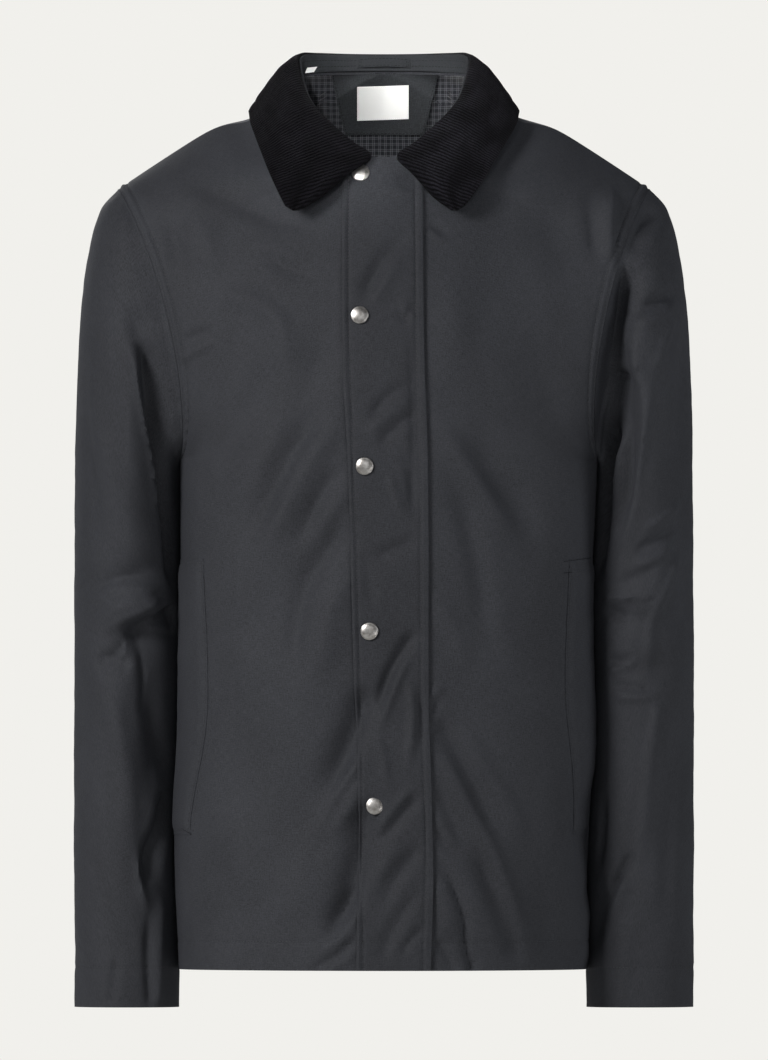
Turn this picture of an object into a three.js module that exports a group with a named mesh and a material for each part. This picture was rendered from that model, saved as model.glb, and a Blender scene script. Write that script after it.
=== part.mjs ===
// A short, hip-length coated-cotton jacket, filled out as if worn, with nobody inside.
// Millimetres, +Z up, the front faces -Y. The origin lies between the shoulders at the base of
// the neck. Negative x is the wearer's right side.
// Every cloth piece is a wall worked out from a surface function: its outer points, and the same
// points moved in by the cloth's thickness.
import * as THREE from 'three';

// ---------------------------------------------------------------- driving sizes
const HEM_Z = -713;            // bottom edge of the body
const ARMPIT_Z = -285;         // bottom of the armholes
const SIDE_Y = -10;            // side seams, seen from above
const SHELL = 2.0;             // body and sleeve cloth with its lining
const COLLAR_LEAF = 2.4;       // corduroy leaf, two layers
const STAND = 1.6;             // inside collar stand
const FLAP = 2.2;              // storm flap, two layers
const WELT = 1.8;              // pocket welt
const THIN = 0.8;              // neck lining, facing and loop
const LABEL = 0.5;             // label and size tab
const GAP = 0.3;               // between neighbouring pieces

const NECK = {
  front: new THREE.Vector3(0, -82, -32),
  side: new THREE.Vector3(74, 2, 38),
  back: new THREE.Vector3(0, 58, 41),
};

// Body outline, hem to armpit: half widths of the wearer's right and left halves.
const BODY = [
  { z: -715, right: 172, left: 170 },
  { z: -650, right: 175, left: 170 },
  { z: -595, right: 176, left: 172 },
  { z: -520, right: 172.5, left: 176 },
  { z: -400, right: 171, left: 174 },
  { z: -336, right: 171, left: 177 },
  { z: -285, right: 171, left: 179.5 },
];

// Where the middle of the front and of the back lie, hem to neck.
const MIDDLE = [
  { z: -715, front: -137, back: 122 },
  { z: -640, front: -134, back: 118 },
  { z: -560, front: -131, back: 114 },
  { z: -470, front: -129, back: 111 },
  { z: -380, front: -130, back: 113 },
  { z: -285, front: -131, back: 118 },
  { z: -200, front: -126, back: 120 },
  { z: -130, front: -115, back: 116 },
  { z: -80, front: -101, back: 108 },
  { z: -32, front: -82, back: 96 },
  { z: 0, front: -74, back: 84 },
  { z: 41, front: -70, back: 58 },
];

// How far a torso row wraps round, in degrees, where it runs from the chest to the shoulder.
const WRAP = [
  { rise: 0.35, front: 62, back: 62 },
  { rise: 0.5, front: 54, back: 54 },
  { rise: 0.7, front: 43, back: 46 },
  { rise: 0.86, front: 32, back: 36 },
  { rise: 1, front: 20, back: 20 },
];

// Sleeve rings from the armhole (along 0) to the cuff (1). A ring runs from a crown point to an
// underarm point, which stands `beside` the body's half width at its height; front and back are
// its deepest y, inset bows the armhole towards the chest, and hollow is the squareness of the
// quarter that faces the body.
const SLEEVE = [
  { along: 0, crownX: 223, crownZ: -58, crownY: 4, beside: 0, underZ: -285, underY: -10,
    front: -70, back: 66, inset: 17, hollow: 2.0 },
  { along: 0.04, crownX: 237.5, crownZ: -75, crownY: 7, beside: 0.9, underZ: -289, underY: -5,
    front: -73, back: 69, inset: 11, hollow: 1.85 },
  { along: 0.11, crownX: 248, crownZ: -110, crownY: 11, beside: 0.6, underZ: -295, underY: 0,
    front: -74, back: 73, inset: 5, hollow: 1.6 },
  { along: 0.19, crownX: 254.5, crownZ: -158, crownY: 16, beside: 0.1, underZ: -304, underY: 5,
    front: -70, back: 77, inset: 1, hollow: 1.5 },
  { along: 0.28, crownX: 258, crownZ: -218, crownY: 21, beside: -0.8, underZ: -320, underY: 10,
    front: -64, back: 80, inset: 0, hollow: 1.5 },
  { along: 0.37, crownX: 259.5, crownZ: -282, crownY: 25, beside: -1.8, underZ: -346, underY: 15,
    front: -57, back: 82, inset: 0, hollow: 1.6 },
  { along: 0.47, crownX: 260, crownZ: -350, crownY: 28, beside: -3, underZ: -385, underY: 21,
    front: -50, back: 83, inset: 0, hollow: 1.9 },
  { along: 0.58, crownX: 260.5, crownZ: -430, crownY: 29, beside: -3, underZ: -442, underY: 25,
    front: -45, back: 82, inset: 0, hollow: 2.2 },
  { along: 0.72, crownX: 260.5, crownZ: -530, crownY: 26, beside: -3, underZ: -532, underY: 26,
    front: -41, back: 77, inset: 0, hollow: 2.3 },
  { along: 0.85, crownX: 260.5, crownZ: -628, crownY: 20, beside: -1.6, underZ: -628, underY: 22,
    front: -39, back: 67, inset: 0, hollow: 2.3 },
  { along: 0.94, crownX: 260, crownZ: -694, crownY: 14, beside: -0.7, underZ: -694, underY: 18,
    front: -38, back: 60, inset: 0, hollow: 2.3 },
  { along: 1, crownX: 260, crownZ: -745, crownY: 12, beside: 0, underZ: -745, underY: 15,
    front: -38, back: 58, inset: 0, hollow: 2.3 },
];

// Collar leaf, at stations from the centre back (0) to the point (1). Its inner edge is the fold
// line and then the short front edge; swing moves a point towards the middle on the wearer's
// left wing.
const LEAF = [
  { at: 0, inX: 0, inY: 68, inZ: 56.2, outX: 0, outY: 108, outZ: -2, inSwing: 0, outSwing: 0 },
  { at: 0.13, inX: 30, inY: 63, inZ: 56.4, outX: 44, outY: 101, outZ: -1, inSwing: 0, outSwing: 0 },
  { at: 0.26, inX: 56, inY: 46, inZ: 57, outX: 84, outY: 76, outZ: 1.5, inSwing: 0, outSwing: 0 },
  { at: 0.37, inX: 70, inY: 22, inZ: 56.4, outX: 108, outY: 40, outZ: 5.6, inSwing: 0, outSwing: 0 },
  { at: 0.46, inX: 72.5, inY: 2, inZ: 49.6, outX: 113.5, outY: 6, outZ: 7, inSwing: 0, outSwing: 0 },
  { at: 0.55, inX: 65.5, inY: -30, inZ: 24, outX: 111.5, outY: -30, outZ: -5, inSwing: 0, outSwing: 1 },
  { at: 0.63, inX: 55.4, inY: -50, inZ: 8.4, outX: 106, outY: -55, outZ: -20, inSwing: 0, outSwing: 4 },
  { at: 0.71, inX: 41, inY: -66, inZ: -6, outX: 101, outY: -73, outZ: -33, inSwing: 0, outSwing: 7 },
  { at: 0.78, inX: 26, inY: -79, inZ: -19, outX: 96, outY: -86, outZ: -45, inSwing: 0, outSwing: 9 },
  { at: 0.85, inX: 11, inY: -90, inZ: -31, outX: 91, outY: -96, outZ: -56, inSwing: 0, outSwing: 11 },
  { at: 0.91, inX: 28.6, inY: -96, inZ: -45.4, outX: 86.5, outY: -101, outZ: -65.5, inSwing: 5, outSwing: 13 },
  { at: 0.96, inX: 49.6, inY: -101, inZ: -64, outX: 83, outY: -104, outZ: -72, inSwing: 10, outSwing: 15 },
  { at: 1, inX: 68, inY: -105, inZ: -77.3, outX: 79.8, outY: -106, outZ: -76.4, inSwing: 14, outSwing: 16 },
];
const LEAF_PUFF = { back: 5, point: 1.5 }; // how far the leaf bellies out between its edges
const SHOULDER_STATION = 0.46; // stations of the shoulder seam and of the fold's front end
const FOLD_END_STATION = 0.85;

// Storm flap, hem to neck: its free edge and its sewn edge.
const FLAP_EDGES = [
  { z: -715, free: -23.5, sewn: 38.6 },
  { z: -640, free: -22.5, sewn: 40.5 },
  { z: -571, free: -21.8, sewn: 39.5 },
  { z: -487, free: -25, sewn: 37 },
  { z: -290, free: -30.5, sewn: 36.3 },
  { z: -193, free: -35.3, sewn: 33 },
  { z: -32, free: -35.3, sewn: 31.5 },
];
const SNAPS = [
  { x: -19, z: -46.5 },
  { x: -20, z: -165 },
  { x: -16, z: -291 },
  { x: -12, z: -429 },
  { x: -7.6, z: -575 },
];
const SNAP_LIFT = 0.45;        // keeps the flat back of a snap clear of the curved flap
const SNAP_PROFILE = [
  { radius: 0, height: 0 },
  { radius: 6.4, height: 0 },
  { radius: 7.3, height: 0.35 },
  { radius: 7.5, height: 0.8 },
  { radius: 7.2, height: 1.3 },
  { radius: 6.0, height: 1.9 },
  { radius: 3.6, height: 2.5 },
  { radius: 0, height: 2.8 },
];

// Pocket welts: height, and how far round the front panel (0 middle, 1 side seam) they start.
const WELT_TOP = -369;
const WELT_BOTTOM = -600;
const WELT_ROUND = { top: 0.69, middle: 0.66, bottom: 0.75, mouth: 0.965 };

// Soft folds of the body front: a line in the front view, a half width, and a height along the
// surface's outward direction (below zero is a trough).
const FRONT_FOLDS = [
  { x0: -40, z0: -205, x1: -128, z1: -330, width: 24, height: 4.5 },
  { x0: -66, z0: -190, x1: -150, z1: -290, width: 18, height: -3.5 },
  { x0: -38, z0: -320, x1: -110, z1: -455, width: 22, height: -4 },
  { x0: -20, z0: -355, x1: -80, z1: -520, width: 22, height: 3.5 },
  { x0: -30, z0: -500, x1: -95, z1: -640, width: 24, height: -3.5 },
  { x0: -24, z0: -590, x1: -60, z1: -715, width: 20, height: 3 },
  { x0: 44, z0: -150, x1: 120, z1: -250, width: 26, height: 3.5 },
  { x0: 46, z0: -260, x1: 135, z1: -345, width: 24, height: -4 },
  { x0: 44, z0: -330, x1: 112, z1: -470, width: 24, height: 3.5 },
  { x0: 44, z0: -470, x1: 96, z1: -600, width: 22, height: -3.5 },
  { x0: 42, z0: -600, x1: 110, z1: -712, width: 22, height: 3.5 },
  { x0: 188, z0: -60, x1: 194, z1: -128, width: 9, height: 3.5 },
];
const BACK_FOLDS = [
  { x0: -120, z0: -190, x1: -40, z1: -300, width: 26, height: 4 },
  { x0: -150, z0: -260, x1: -70, z1: -370, width: 24, height: -4 },
  { x0: 30, z0: -230, x1: 128, z1: -330, width: 26, height: -4 },
  { x0: 20, z0: -330, x1: 110, z1: -440, width: 24, height: 4 },
  { x0: -90, z0: -440, x1: 20, z1: -520, width: 28, height: 3.5 },
  { x0: -20, z0: -560, x1: 90, z1: -640, width: 26, height: -3.5 },
  { x0: -130, z0: -540, x1: -60, z1: -690, width: 24, height: 3.5 },
];
// Folds of each sleeve, as a line in height and in degrees round it: 0 crown, 90 front, 180
// underarm, 270 back. Their half width is in millimetres, on a sleeve of the middle radius.
const SLEEVE_RADIUS = 58;
const SLEEVE_FOLDS = {
  right: [
    { angle0: 30, z0: -392, angle1: 150, z1: -372, width: 11, height: -4.5 },
    { angle0: 120, z0: -415, angle1: 55, z1: -448, width: 13, height: -6 },
    { angle0: 60, z0: -418, angle1: 120, z1: -398, width: 12, height: 3.5 },
    { angle0: 110, z0: -470, angle1: 150, z1: -560, width: 15, height: -5 },
    { angle0: 100, z0: -580, angle1: 140, z1: -660, width: 14, height: -4.5 },
    { angle0: 250, z0: -380, angle1: 330, z1: -430, width: 14, height: -5 },
    { angle0: 215, z0: -440, angle1: 300, z1: -400, width: 14, height: 4 },
  ],
  left: [
    { angle0: 45, z0: -152, angle1: 85, z1: -165, width: 10, height: -3 },
    { angle0: 60, z0: -425, angle1: 140, z1: -412, width: 11, height: -5 },
    { angle0: 50, z0: -455, angle1: 130, z1: -468, width: 12, height: -4 },
    { angle0: 60, z0: -360, angle1: 100, z1: -440, width: 13, height: 4 },
    { angle0: 120, z0: -640, angle1: 150, z1: -700, width: 13, height: -4 },
    { angle0: 240, z0: -390, angle1: 320, z1: -420, width: 14, height: -5 },
    { angle0: 225, z0: -470, angle1: 310, z1: -440, width: 14, height: 4 },
  ],
};

// ---------------------------------------------------------------- small helpers
const SIDES = { right: -1, left: 1 };
const clamp01 = t => Math.min(Math.max(t, 0), 1);
const mix = (a, b, t) => a + (b - a) * t;
const ease = t => clamp01(t) ** 2 * (3 - 2 * clamp01(t));
const steps = (first, last, count) =>
  Array.from({ length: count + 1 }, (_, i) => mix(first, last, i / count));
const radians = degrees => degrees * Math.PI / 180;

// The value of one column of a table at a place, on a smooth curve through its rows.
function read(table, key, column, place) {
  const last = table.length - 1;
  let i = 0;
  while (i < last - 1 && place > table[i + 1][key]) i += 1;
  const slope = k => {
    const a = table[Math.max(k - 1, 0)];
    const b = table[Math.min(k + 1, last)];
    return (b[column] - a[column]) / (b[key] - a[key]);
  };
  const [low, high] = [table[i], table[i + 1]];
  const span = high[key] - low[key];
  const t = clamp01((place - low[key]) / span);
  return low[column] * (1 + 2 * t) * (1 - t) ** 2 + high[column] * t ** 2 * (3 - 2 * t)
    + span * t * (1 - t) * (slope(i) * (1 - t) - slope(i + 1) * t);
}

// A point of a surface and the direction square to it, which has no sideways part in the middle
// plane, where the two halves of a piece meet.
function frameOf(surface, u, v) {
  const e = 1e-3;
  const along = surface(Math.min(u + e, 1), v).sub(surface(Math.max(u - e, 0), v));
  const up = surface(u, Math.min(v + e, 1)).sub(surface(u, Math.max(v - e, 0)));
  const out = along.cross(up);
  const point = surface(u, v);
  if (point.x === 0) out.x = 0;
  return { point, out: out.normalize() };
}

const movedOut = (node, distance) => ({
  point: node.point.clone().addScaledVector(node.out, distance),
  out: node.out,
});

// The height of a set of folds at a place in the flat view that its lines are drawn in.
function foldHeight(folds, x, z) {
  let height = 0;
  for (const fold of folds) {
    const [dx, dz] = [fold.x1 - fold.x0, fold.z1 - fold.z0];
    const t = ((x - fold.x0) * dx + (z - fold.z0) * dz) / (dx * dx + dz * dz);
    if (t > 0 && t < 1) {
      const off = Math.hypot(x - fold.x0 - t * dx, z - fold.z0 - t * dz);
      height += fold.height * Math.sin(Math.PI * t) * Math.exp(-((off / fold.width) ** 2));
    }
  }
  return height;
}

// A closed wall from grids of nodes, joined where their points meet. Its outer face runs through
// the points and its inner face lies `thickness` behind them.
function wallGeometry(grids, thickness) {
  const outer = [];
  const inner = [];
  const known = new Map();
  const indexOf = node => {
    const key = node.point.toArray().map(n => Math.round(n * 500)).join();
    if (!known.has(key)) {
      known.set(key, outer.length);
      outer.push(node.point);
      inner.push(node.point.clone().addScaledVector(node.out, -thickness));
    }
    return known.get(key);
  };
  const faces = [];
  for (const grid of grids) {
    const rows = grid.map(row => row.map(indexOf));
    for (let j = 0; j + 1 < rows.length; j += 1) {
      for (let i = 0; i + 1 < rows[j].length; i += 1) {
        const [a, b, c, d] = [rows[j][i], rows[j][i + 1], rows[j + 1][i + 1], rows[j + 1][i]];
        faces.push([a, b, c], [a, c, d]);
      }
    }
  }
  const solidFaces = faces.filter(([a, b, c]) => a !== b && b !== c && c !== a);
  const back = outer.length;
  const edges = new Set(solidFaces.flatMap(([a, b, c]) => [`${a},${b}`, `${b},${c}`, `${c},${a}`]));
  const index = solidFaces.flat();
  for (const [a, b, c] of solidFaces) {
    index.push(back + c, back + b, back + a);
    for (const [p, q] of [[a, b], [b, c], [c, a]]) {
      if (!edges.has(`${q},${p}`)) index.push(q, p, back + p, q, back + p, back + q);
    }
  }
  const geometry = new THREE.BufferGeometry();
  const positions = [...outer, ...inner].flatMap(point => point.toArray());
  geometry.setAttribute('position', new THREE.Float32BufferAttribute(positions, 3));
  geometry.setIndex(index);
  geometry.computeVertexNormals();
  return geometry;
}

// ---------------------------------------------------------------- sleeve and armhole surface
// Round 0 is the crown, then front, underarm and back; along runs from the armhole to the cuff.
function sleeveBase(side, round, along) {
  const column = name => read(SLEEVE, 'along', name, along);
  const turn = 2 * Math.PI * round;
  const [across, deep] = [Math.abs(Math.cos(turn)), Math.abs(Math.sin(turn))];
  const facesFront = Math.sin(turn) >= 0;
  const towardsBody = Math.cos(turn) < 0;
  const power = 2 / (towardsBody && facesFront ? column('hollow') : 2);
  const w = towardsBody ? 0.5 + 0.5 * across ** power : 0.5 - 0.5 * across ** power;
  const extreme = column(facesFront ? 'front' : 'back');
  const rest = towardsBody ? column('underY') : column('crownY');
  const underX = read(BODY, 'z', side, column('underZ')) + column('beside');
  return new THREE.Vector3(
    SIDES[side] * (mix(column('crownX'), underX, w) - column('inset') * deep ** 1.6),
    mix(rest, extreme, deep ** power),
    mix(column('crownZ'), column('underZ'), w),
  );
}

function sleeveNode(side, round, along) {
  const e = 2e-3;
  const base = (r, a) => sleeveBase(side, r, a);
  const point = base(round, along);
  const turnwise = base(round + e, along).sub(base(round - e, along));
  const down = base(round, Math.min(along + e, 1)).sub(base(round, Math.max(along - e, 0)));
  const out = turnwise.cross(down).multiplyScalar(SIDES[side]).normalize();
  const arcTo = degrees => radians(degrees) * SLEEVE_RADIUS;
  const folds = SLEEVE_FOLDS[side].map(({ angle0, angle1, ...fold }) => ({
    ...fold, x0: arcTo(angle0), x1: arcTo(angle1),
  }));
  return movedOut({ point, out }, foldHeight(folds, arcTo(360 * (round % 1)), point.z));
}

// The armhole seam: the wall's edge faces stand square to it, towards the wearer's arm.
function armholeNode(side, round, own) {
  const e = 1e-3;
  const point = sleeveBase(side, round, 0);
  const tangent = sleeveBase(side, round + e, 0).sub(sleeveBase(side, round - e, 0)).normalize();
  const centre = sleeveBase(side, 0, 0).add(sleeveBase(side, 0.5, 0)).multiplyScalar(0.5);
  const radial = point.clone().sub(centre);
  radial.addScaledVector(tangent, -radial.dot(tangent)).normalize();
  const lowness = (1 - Math.cos(2 * Math.PI * round)) / 2;
  const out = radial.lerp(own, ease((lowness - 0.5) / 0.35)).normalize();
  return { point, out };
}

// ---------------------------------------------------------------- torso surface
const frontMiddleX = z => (read(FLAP_EDGES, 'z', 'free', z) + read(FLAP_EDGES, 'z', 'sewn', z)) / 2;

function neckPoint(side, face, t) {
  const from = NECK[face];
  const [sine, rise] = [Math.sin(t * Math.PI / 2), 1 - Math.cos(t * Math.PI / 2)];
  const startX = face === 'front' ? frontMiddleX(from.z) : 0;
  return new THREE.Vector3(
    mix(startX, SIDES[side] * NECK.side.x, sine),
    mix(from.y, NECK.side.y, rise),
    mix(from.z, NECK.side.z, rise),
  );
}

// The shoulder dips beside the neck and is full near its tip.
const shoulderForm = w => 6 * w * w * (1 - w)
  - 14 * Math.exp(-(((w - 0.235) / 0.155) ** 2)) * (1 - Math.exp(-w / 0.05));

// Rows that start in the middle of the front or back leave it level, so no ridge stands there.
const LEVEL_START = 0.12;
const rowFall = w => w * w * (1 + LEVEL_START) / (w + LEVEL_START);

// The share of the height that lies below the armpit, and of the rest that lies below the neck.
const LOW_SHARE = 0.56;
const NECK_SHARE = { front: 0.7, back: 0.78 };

// u runs from the middle of the front or back to the side, v from the hem to the shoulder.
function torsoBase(side, face, u, v) {
  const sign = SIDES[side];
  const low = v <= LOW_SHARE;
  const rise = low ? 0 : (v - LOW_SHARE) / (1 - LOW_SHARE);
  const neckShare = NECK_SHARE[face];
  let start;
  let end;
  if (low) {
    const z = mix(HEM_Z, ARMPIT_Z, v / LOW_SHARE);
    start = new THREE.Vector3(0, 0, z);
    end = new THREE.Vector3(sign * read(BODY, 'z', side, z), SIDE_Y, z);
  } else {
    start = new THREE.Vector3(0, 0, mix(ARMPIT_Z, NECK[face].z, Math.min(rise / neckShare, 1)));
    end = sleeveBase(side, face === 'front' ? 0.5 * (1 - rise) : 0.5 * (1 + rise), 0);
  }
  if (rise > neckShare) {
    start = neckPoint(side, face, (rise - neckShare) / (1 - neckShare));
  } else {
    start.x = face === 'front' ? frontMiddleX(start.z) : 0;
    start.y = read(MIDDLE, 'z', face, start.z);
  }
  const share = clamp01((end.y - SIDE_Y) / (start.y - SIDE_Y));
  const wrap = mix(Math.acos(share), radians(read(WRAP, 'rise', face, rise)), ease((rise - 0.3) / 0.3));
  const w = Math.sin(u * wrap) / Math.sin(wrap);
  const fall = mix(rowFall(w), w, ease((rise - neckShare) / (1 - neckShare)));
  return new THREE.Vector3(
    mix(start.x, end.x, w),
    mix(start.y, end.y, (1 - Math.cos(u * wrap)) / (1 - Math.cos(wrap))),
    mix(start.z, end.z, fall) + shoulderForm(w) * rise ** 4,
  );
}

function torsoNode(side, face, u, v) {
  const node = frameOf((a, b) => torsoBase(side, face, a, b), u, v);
  if ((SIDES[side] > 0) !== (face === 'front')) node.out.negate();
  if (u === 0) node.out.setX(0).normalize();
  const folds = face === 'front' ? FRONT_FOLDS : BACK_FOLDS;
  const calm = ease((1 - u) / 0.12);
  return movedOut(node, foldHeight(folds, node.point.x, node.point.z) * calm);
}

// A torso node on a seam: both neighbours share its direction, and stand half a gap back.
function torsoEdgeNode(side, face, u, v) {
  const node = torsoNode(side, face, u, v);
  const halfGap = (face === 'front' ? -1 : 1) * GAP / 2;
  if (v === 1) {
    const beside = torsoBase(side, face, Math.max(u - 0.02, 0), 1);
    const past = torsoBase(side, face, Math.min(u + 0.02, 1), 1);
    const along = past.sub(beside);
    node.out = new THREE.Vector3(-along.z, 0, along.x).multiplyScalar(SIDES[side]).normalize();
    node.point.y += halfGap;
  } else if (u === 1 && v <= LOW_SHARE) {
    node.out = new THREE.Vector3(SIDES[side], 0, 0);
    node.point.y += halfGap;
  } else if (u === 1) {
    const rise = (v - LOW_SHARE) / (1 - LOW_SHARE);
    const round = face === 'front' ? 0.5 * (1 - rise) : 0.5 * (1 + rise);
    const seam = armholeNode(side, round, node.out);
    node.out = seam.out;
  } else if (u === 0 && face === 'front' && v <= LOW_SHARE + (1 - LOW_SHARE) * NECK_SHARE.front) {
    node.point.x += SIDES[side] * GAP / 2;
  }
  return node;
}

// The place on the torso whose front-view position is x, z: the nearest of a coarse set, refined.
function torsoAt(face, x, z) {
  const middle = face === 'front' ? frontMiddleX(z) : 0;
  const side = x < middle ? 'right' : 'left';
  const miss = (a, b) => {
    const point = torsoBase(side, face, a, b);
    return [point.x - x, point.z - z];
  };
  let [u, v, least] = [0, 0, Infinity];
  for (const a of steps(0, 0.95, 12)) {
    for (const b of steps(0.02, 0.99, 40)) {
      const distance = Math.hypot(...miss(a, b));
      if (distance < least) [u, v, least] = [a, b, distance];
    }
  }
  for (let i = 0; i < 12; i += 1) {
    const e = 1e-4;
    const [mx, mz] = miss(u, v);
    const [ux, uz] = miss(u + e, v).map((n, k) => (n - [mx, mz][k]) / e);
    const [vx, vz] = miss(u, v + e).map((n, k) => (n - [mx, mz][k]) / e);
    const area = ux * vz - uz * vx;
    u = clamp01(u - (mx * vz - mz * vx) / area);
    v = clamp01(v - (ux * mz - uz * mx) / area);
  }
  return torsoNode(side, face, u, v);
}

// How far round a front row the flap's edge lies.
function flapRound(side, v) {
  const edge = side === 'right' ? 'free' : 'sewn';
  let [low, high] = [0, 0.7];
  for (let i = 0; i < 30; i += 1) {
    const u = (low + high) / 2;
    const point = torsoBase(side, 'front', u, v);
    const past = SIDES[side] * (point.x - read(FLAP_EDGES, 'z', edge, point.z)) > 0;
    if (past) high = u;
    else low = u;
  }
  return low;
}

// ---------------------------------------------------------------- collar surfaces
// A mirrored first row makes the leaf run smoothly across the centre back.
const afterBack = LEAF[1];
const LEAF_ROUND = [
  { ...afterBack, at: -afterBack.at, inX: -afterBack.inX, outX: -afterBack.outX },
  ...LEAF,
];

// Across 0 is the fold line, 1 the outer edge; station is measured along either half.
function leafBase(side, station, across) {
  const column = name => read(LEAF_ROUND, 'at', name, station);
  const swing = side === 'left' ? 1 : 0;
  const inner = new THREE.Vector3(
    SIDES[side] * (column('inX') - swing * column('inSwing')), column('inY'), column('inZ'));
  const outer = new THREE.Vector3(
    SIDES[side] * (column('outX') - swing * column('outSwing')), column('outY'), column('outZ'));
  return inner.lerp(outer, across);
}

function leafNode(side, station, across) {
  const node = frameOf((s, t) => leafBase(side, s, t), station, across);
  if (side === 'right') node.out.negate();
  const puff = mix(LEAF_PUFF.back, LEAF_PUFF.point, ease((station - 0.5) / 0.4));
  return movedOut(node, puff * Math.sin(Math.PI * across ** 0.7));
}

// The neck seam at a collar station: back neckline first, then the front one.
function seamPoint(side, station) {
  if (station <= SHOULDER_STATION) return neckPoint(side, 'back', station / SHOULDER_STATION);
  return neckPoint(side, 'front', (FOLD_END_STATION - station) / (FOLD_END_STATION - SHOULDER_STATION));
}

// The stand rises from the neck seam to just under the fold. up 0 is the seam.
function standBase(side, station, up) {
  const fold = leafNode(side, station, 0);
  const top = movedOut(fold, -(COLLAR_LEAF + GAP)).point;
  const bottom = seamPoint(side, station);
  bottom.z += GAP;
  return bottom.lerp(top, up);
}

function standNode(side, station, up) {
  const node = frameOf((s, t) => standBase(side, s, t), station, up);
  if (side === 'left') node.out.negate();
  return node;
}

// ---------------------------------------------------------------- pieces
const material = (hex, roughness, metalness = 0) =>
  new THREE.MeshStandardMaterial({ color: hex, roughness, metalness, side: THREE.DoubleSide });

const jacket = new THREE.Group();
jacket.name = 'jacket';

function addPiece(name, geometry, paint) {
  const mesh = new THREE.Mesh(geometry, paint);
  mesh.name = name;
  jacket.add(mesh);
  return mesh;
}

// Rows follow the welts' ends, the armpit and the corner of the neck. Above the armpit they are
// also the stations of the armhole seam, and draw closer towards the neck.
const heightShare = z => (z - HEM_Z) / (ARMPIT_Z - HEM_Z) * LOW_SHARE;
const between = (first, last, count) => steps(first, last, count).slice(1);
const WELT_ROWS = steps(heightShare(WELT_BOTTOM), heightShare(WELT_TOP), 7);
const CHEST_STEPS = 7;
const NECK_STEPS = 5;

const rises = face => [
  ...steps(0, 1, CHEST_STEPS).map(t => NECK_SHARE[face] * (1 - (1 - t) ** 1.5)),
  ...between(NECK_SHARE[face], 1, NECK_STEPS),
];

const torsoRows = face => [
  ...steps(0, WELT_ROWS[0], 4), ...WELT_ROWS.slice(1), ...between(WELT_ROWS.at(-1), LOW_SHARE, 3),
  ...rises(face).slice(1).map(rise => mix(LOW_SHARE, 1, rise)),
];

// Columns of the front follow the flap's edge and the welt's two long edges.
const FLAP_COLUMNS = 3;
const PLAIN_COLUMNS = 6;
const WELT_COLUMNS = 4;
const BACK_COLUMNS = [0, 0.06, 0.12, 0.19, 0.27, 0.35, 0.44, 0.54, 0.64, 0.74, 0.84, 0.92, 1];

function frontColumns(side, v) {
  const flapEnd = flapRound(side, v);
  const t = clamp01((v - WELT_ROWS[0]) / (WELT_ROWS.at(-1) - WELT_ROWS[0]));
  const weltStart = t < 0.5
    ? mix(WELT_ROUND.bottom, WELT_ROUND.middle, ease(2 * t))
    : mix(WELT_ROUND.middle, WELT_ROUND.top, ease(2 * t - 1));
  return [
    ...steps(0, flapEnd, FLAP_COLUMNS), ...between(flapEnd, weltStart, PLAIN_COLUMNS),
    ...between(weltStart, WELT_ROUND.mouth, WELT_COLUMNS), 1,
  ];
}

function torsoGrid(side, face) {
  const leftToRight = (SIDES[side] > 0) === (face === 'front');
  return torsoRows(face).map(v => {
    const us = face === 'front' ? frontColumns(side, v) : BACK_COLUMNS;
    const row = us.map(u => torsoEdgeNode(side, face, u, v));
    return leftToRight ? row : row.reverse();
  });
}

function addBody() {
  const cloth = material(0x3b3d41, 0.55);
  addPiece('front_right', wallGeometry([torsoGrid('right', 'front')], SHELL), cloth);
  addPiece('front_left', wallGeometry([torsoGrid('left', 'front')], SHELL), cloth);
  const back = [torsoGrid('left', 'back'), torsoGrid('right', 'back')];
  addPiece('back', wallGeometry(back, SHELL), cloth);
}

const SLEEVE_CAP_ROWS = [0, 0.02, 0.045, 0.075, 0.11, 0.15];

function addSleeve(side) {
  const frontTurns = rises('front').reverse().map(rise => (1 - rise) / 2);
  const backTurns = rises('back').slice(1).map(rise => (1 + rise) / 2);
  const turns = [...frontTurns, ...backTurns];
  if (side === 'right') turns.reverse();
  const alongs = [...SLEEVE_CAP_ROWS, ...steps(0.19, 1, 17)];
  const grid = alongs.map(along => turns.map(turn => {
    const round = turn % 1;
    const node = sleeveNode(side, round, along);
    if (along > 0) return node;
    const seam = armholeNode(side, round, node.out);
    const away = sleeveBase(side, round, 0.03).sub(seam.point);
    away.addScaledVector(seam.out, -away.dot(seam.out)).normalize();
    seam.point.addScaledVector(away, GAP);
    return seam;
  }));
  addPiece(`sleeve_${side}`, wallGeometry([grid], SHELL), material(0x393b3f, 0.55));
}

function addCollar() {
  const stations = steps(0, 1, 30);
  const across = steps(0, 1, 7);
  const halves = Object.keys(SIDES).map(side => {
    const line = side === 'right' ? across : [...across].reverse();
    return stations.map(station => line.map(t => leafNode(side, station, t)));
  });
  addPiece('collar', wallGeometry(halves, COLLAR_LEAF), material(0x141417, 0.95));
}

function addStand() {
  const lastStation = mix(FOLD_END_STATION, SHOULDER_STATION, 1 / NECK_STEPS);
  const stations = [
    ...steps(0, SHOULDER_STATION, NECK_STEPS),
    ...between(SHOULDER_STATION, lastStation, NECK_STEPS - 1),
  ];
  const halves = Object.keys(SIDES).map(side => {
    const ups = side === 'right' ? [1, 0.5, 0] : [0, 0.5, 1];
    return stations.map(station => ups.map(up => standNode(side, station, up)));
  });
  addPiece('collar_stand', wallGeometry(halves, STAND), material(0x36383b, 0.6));
}

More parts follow.
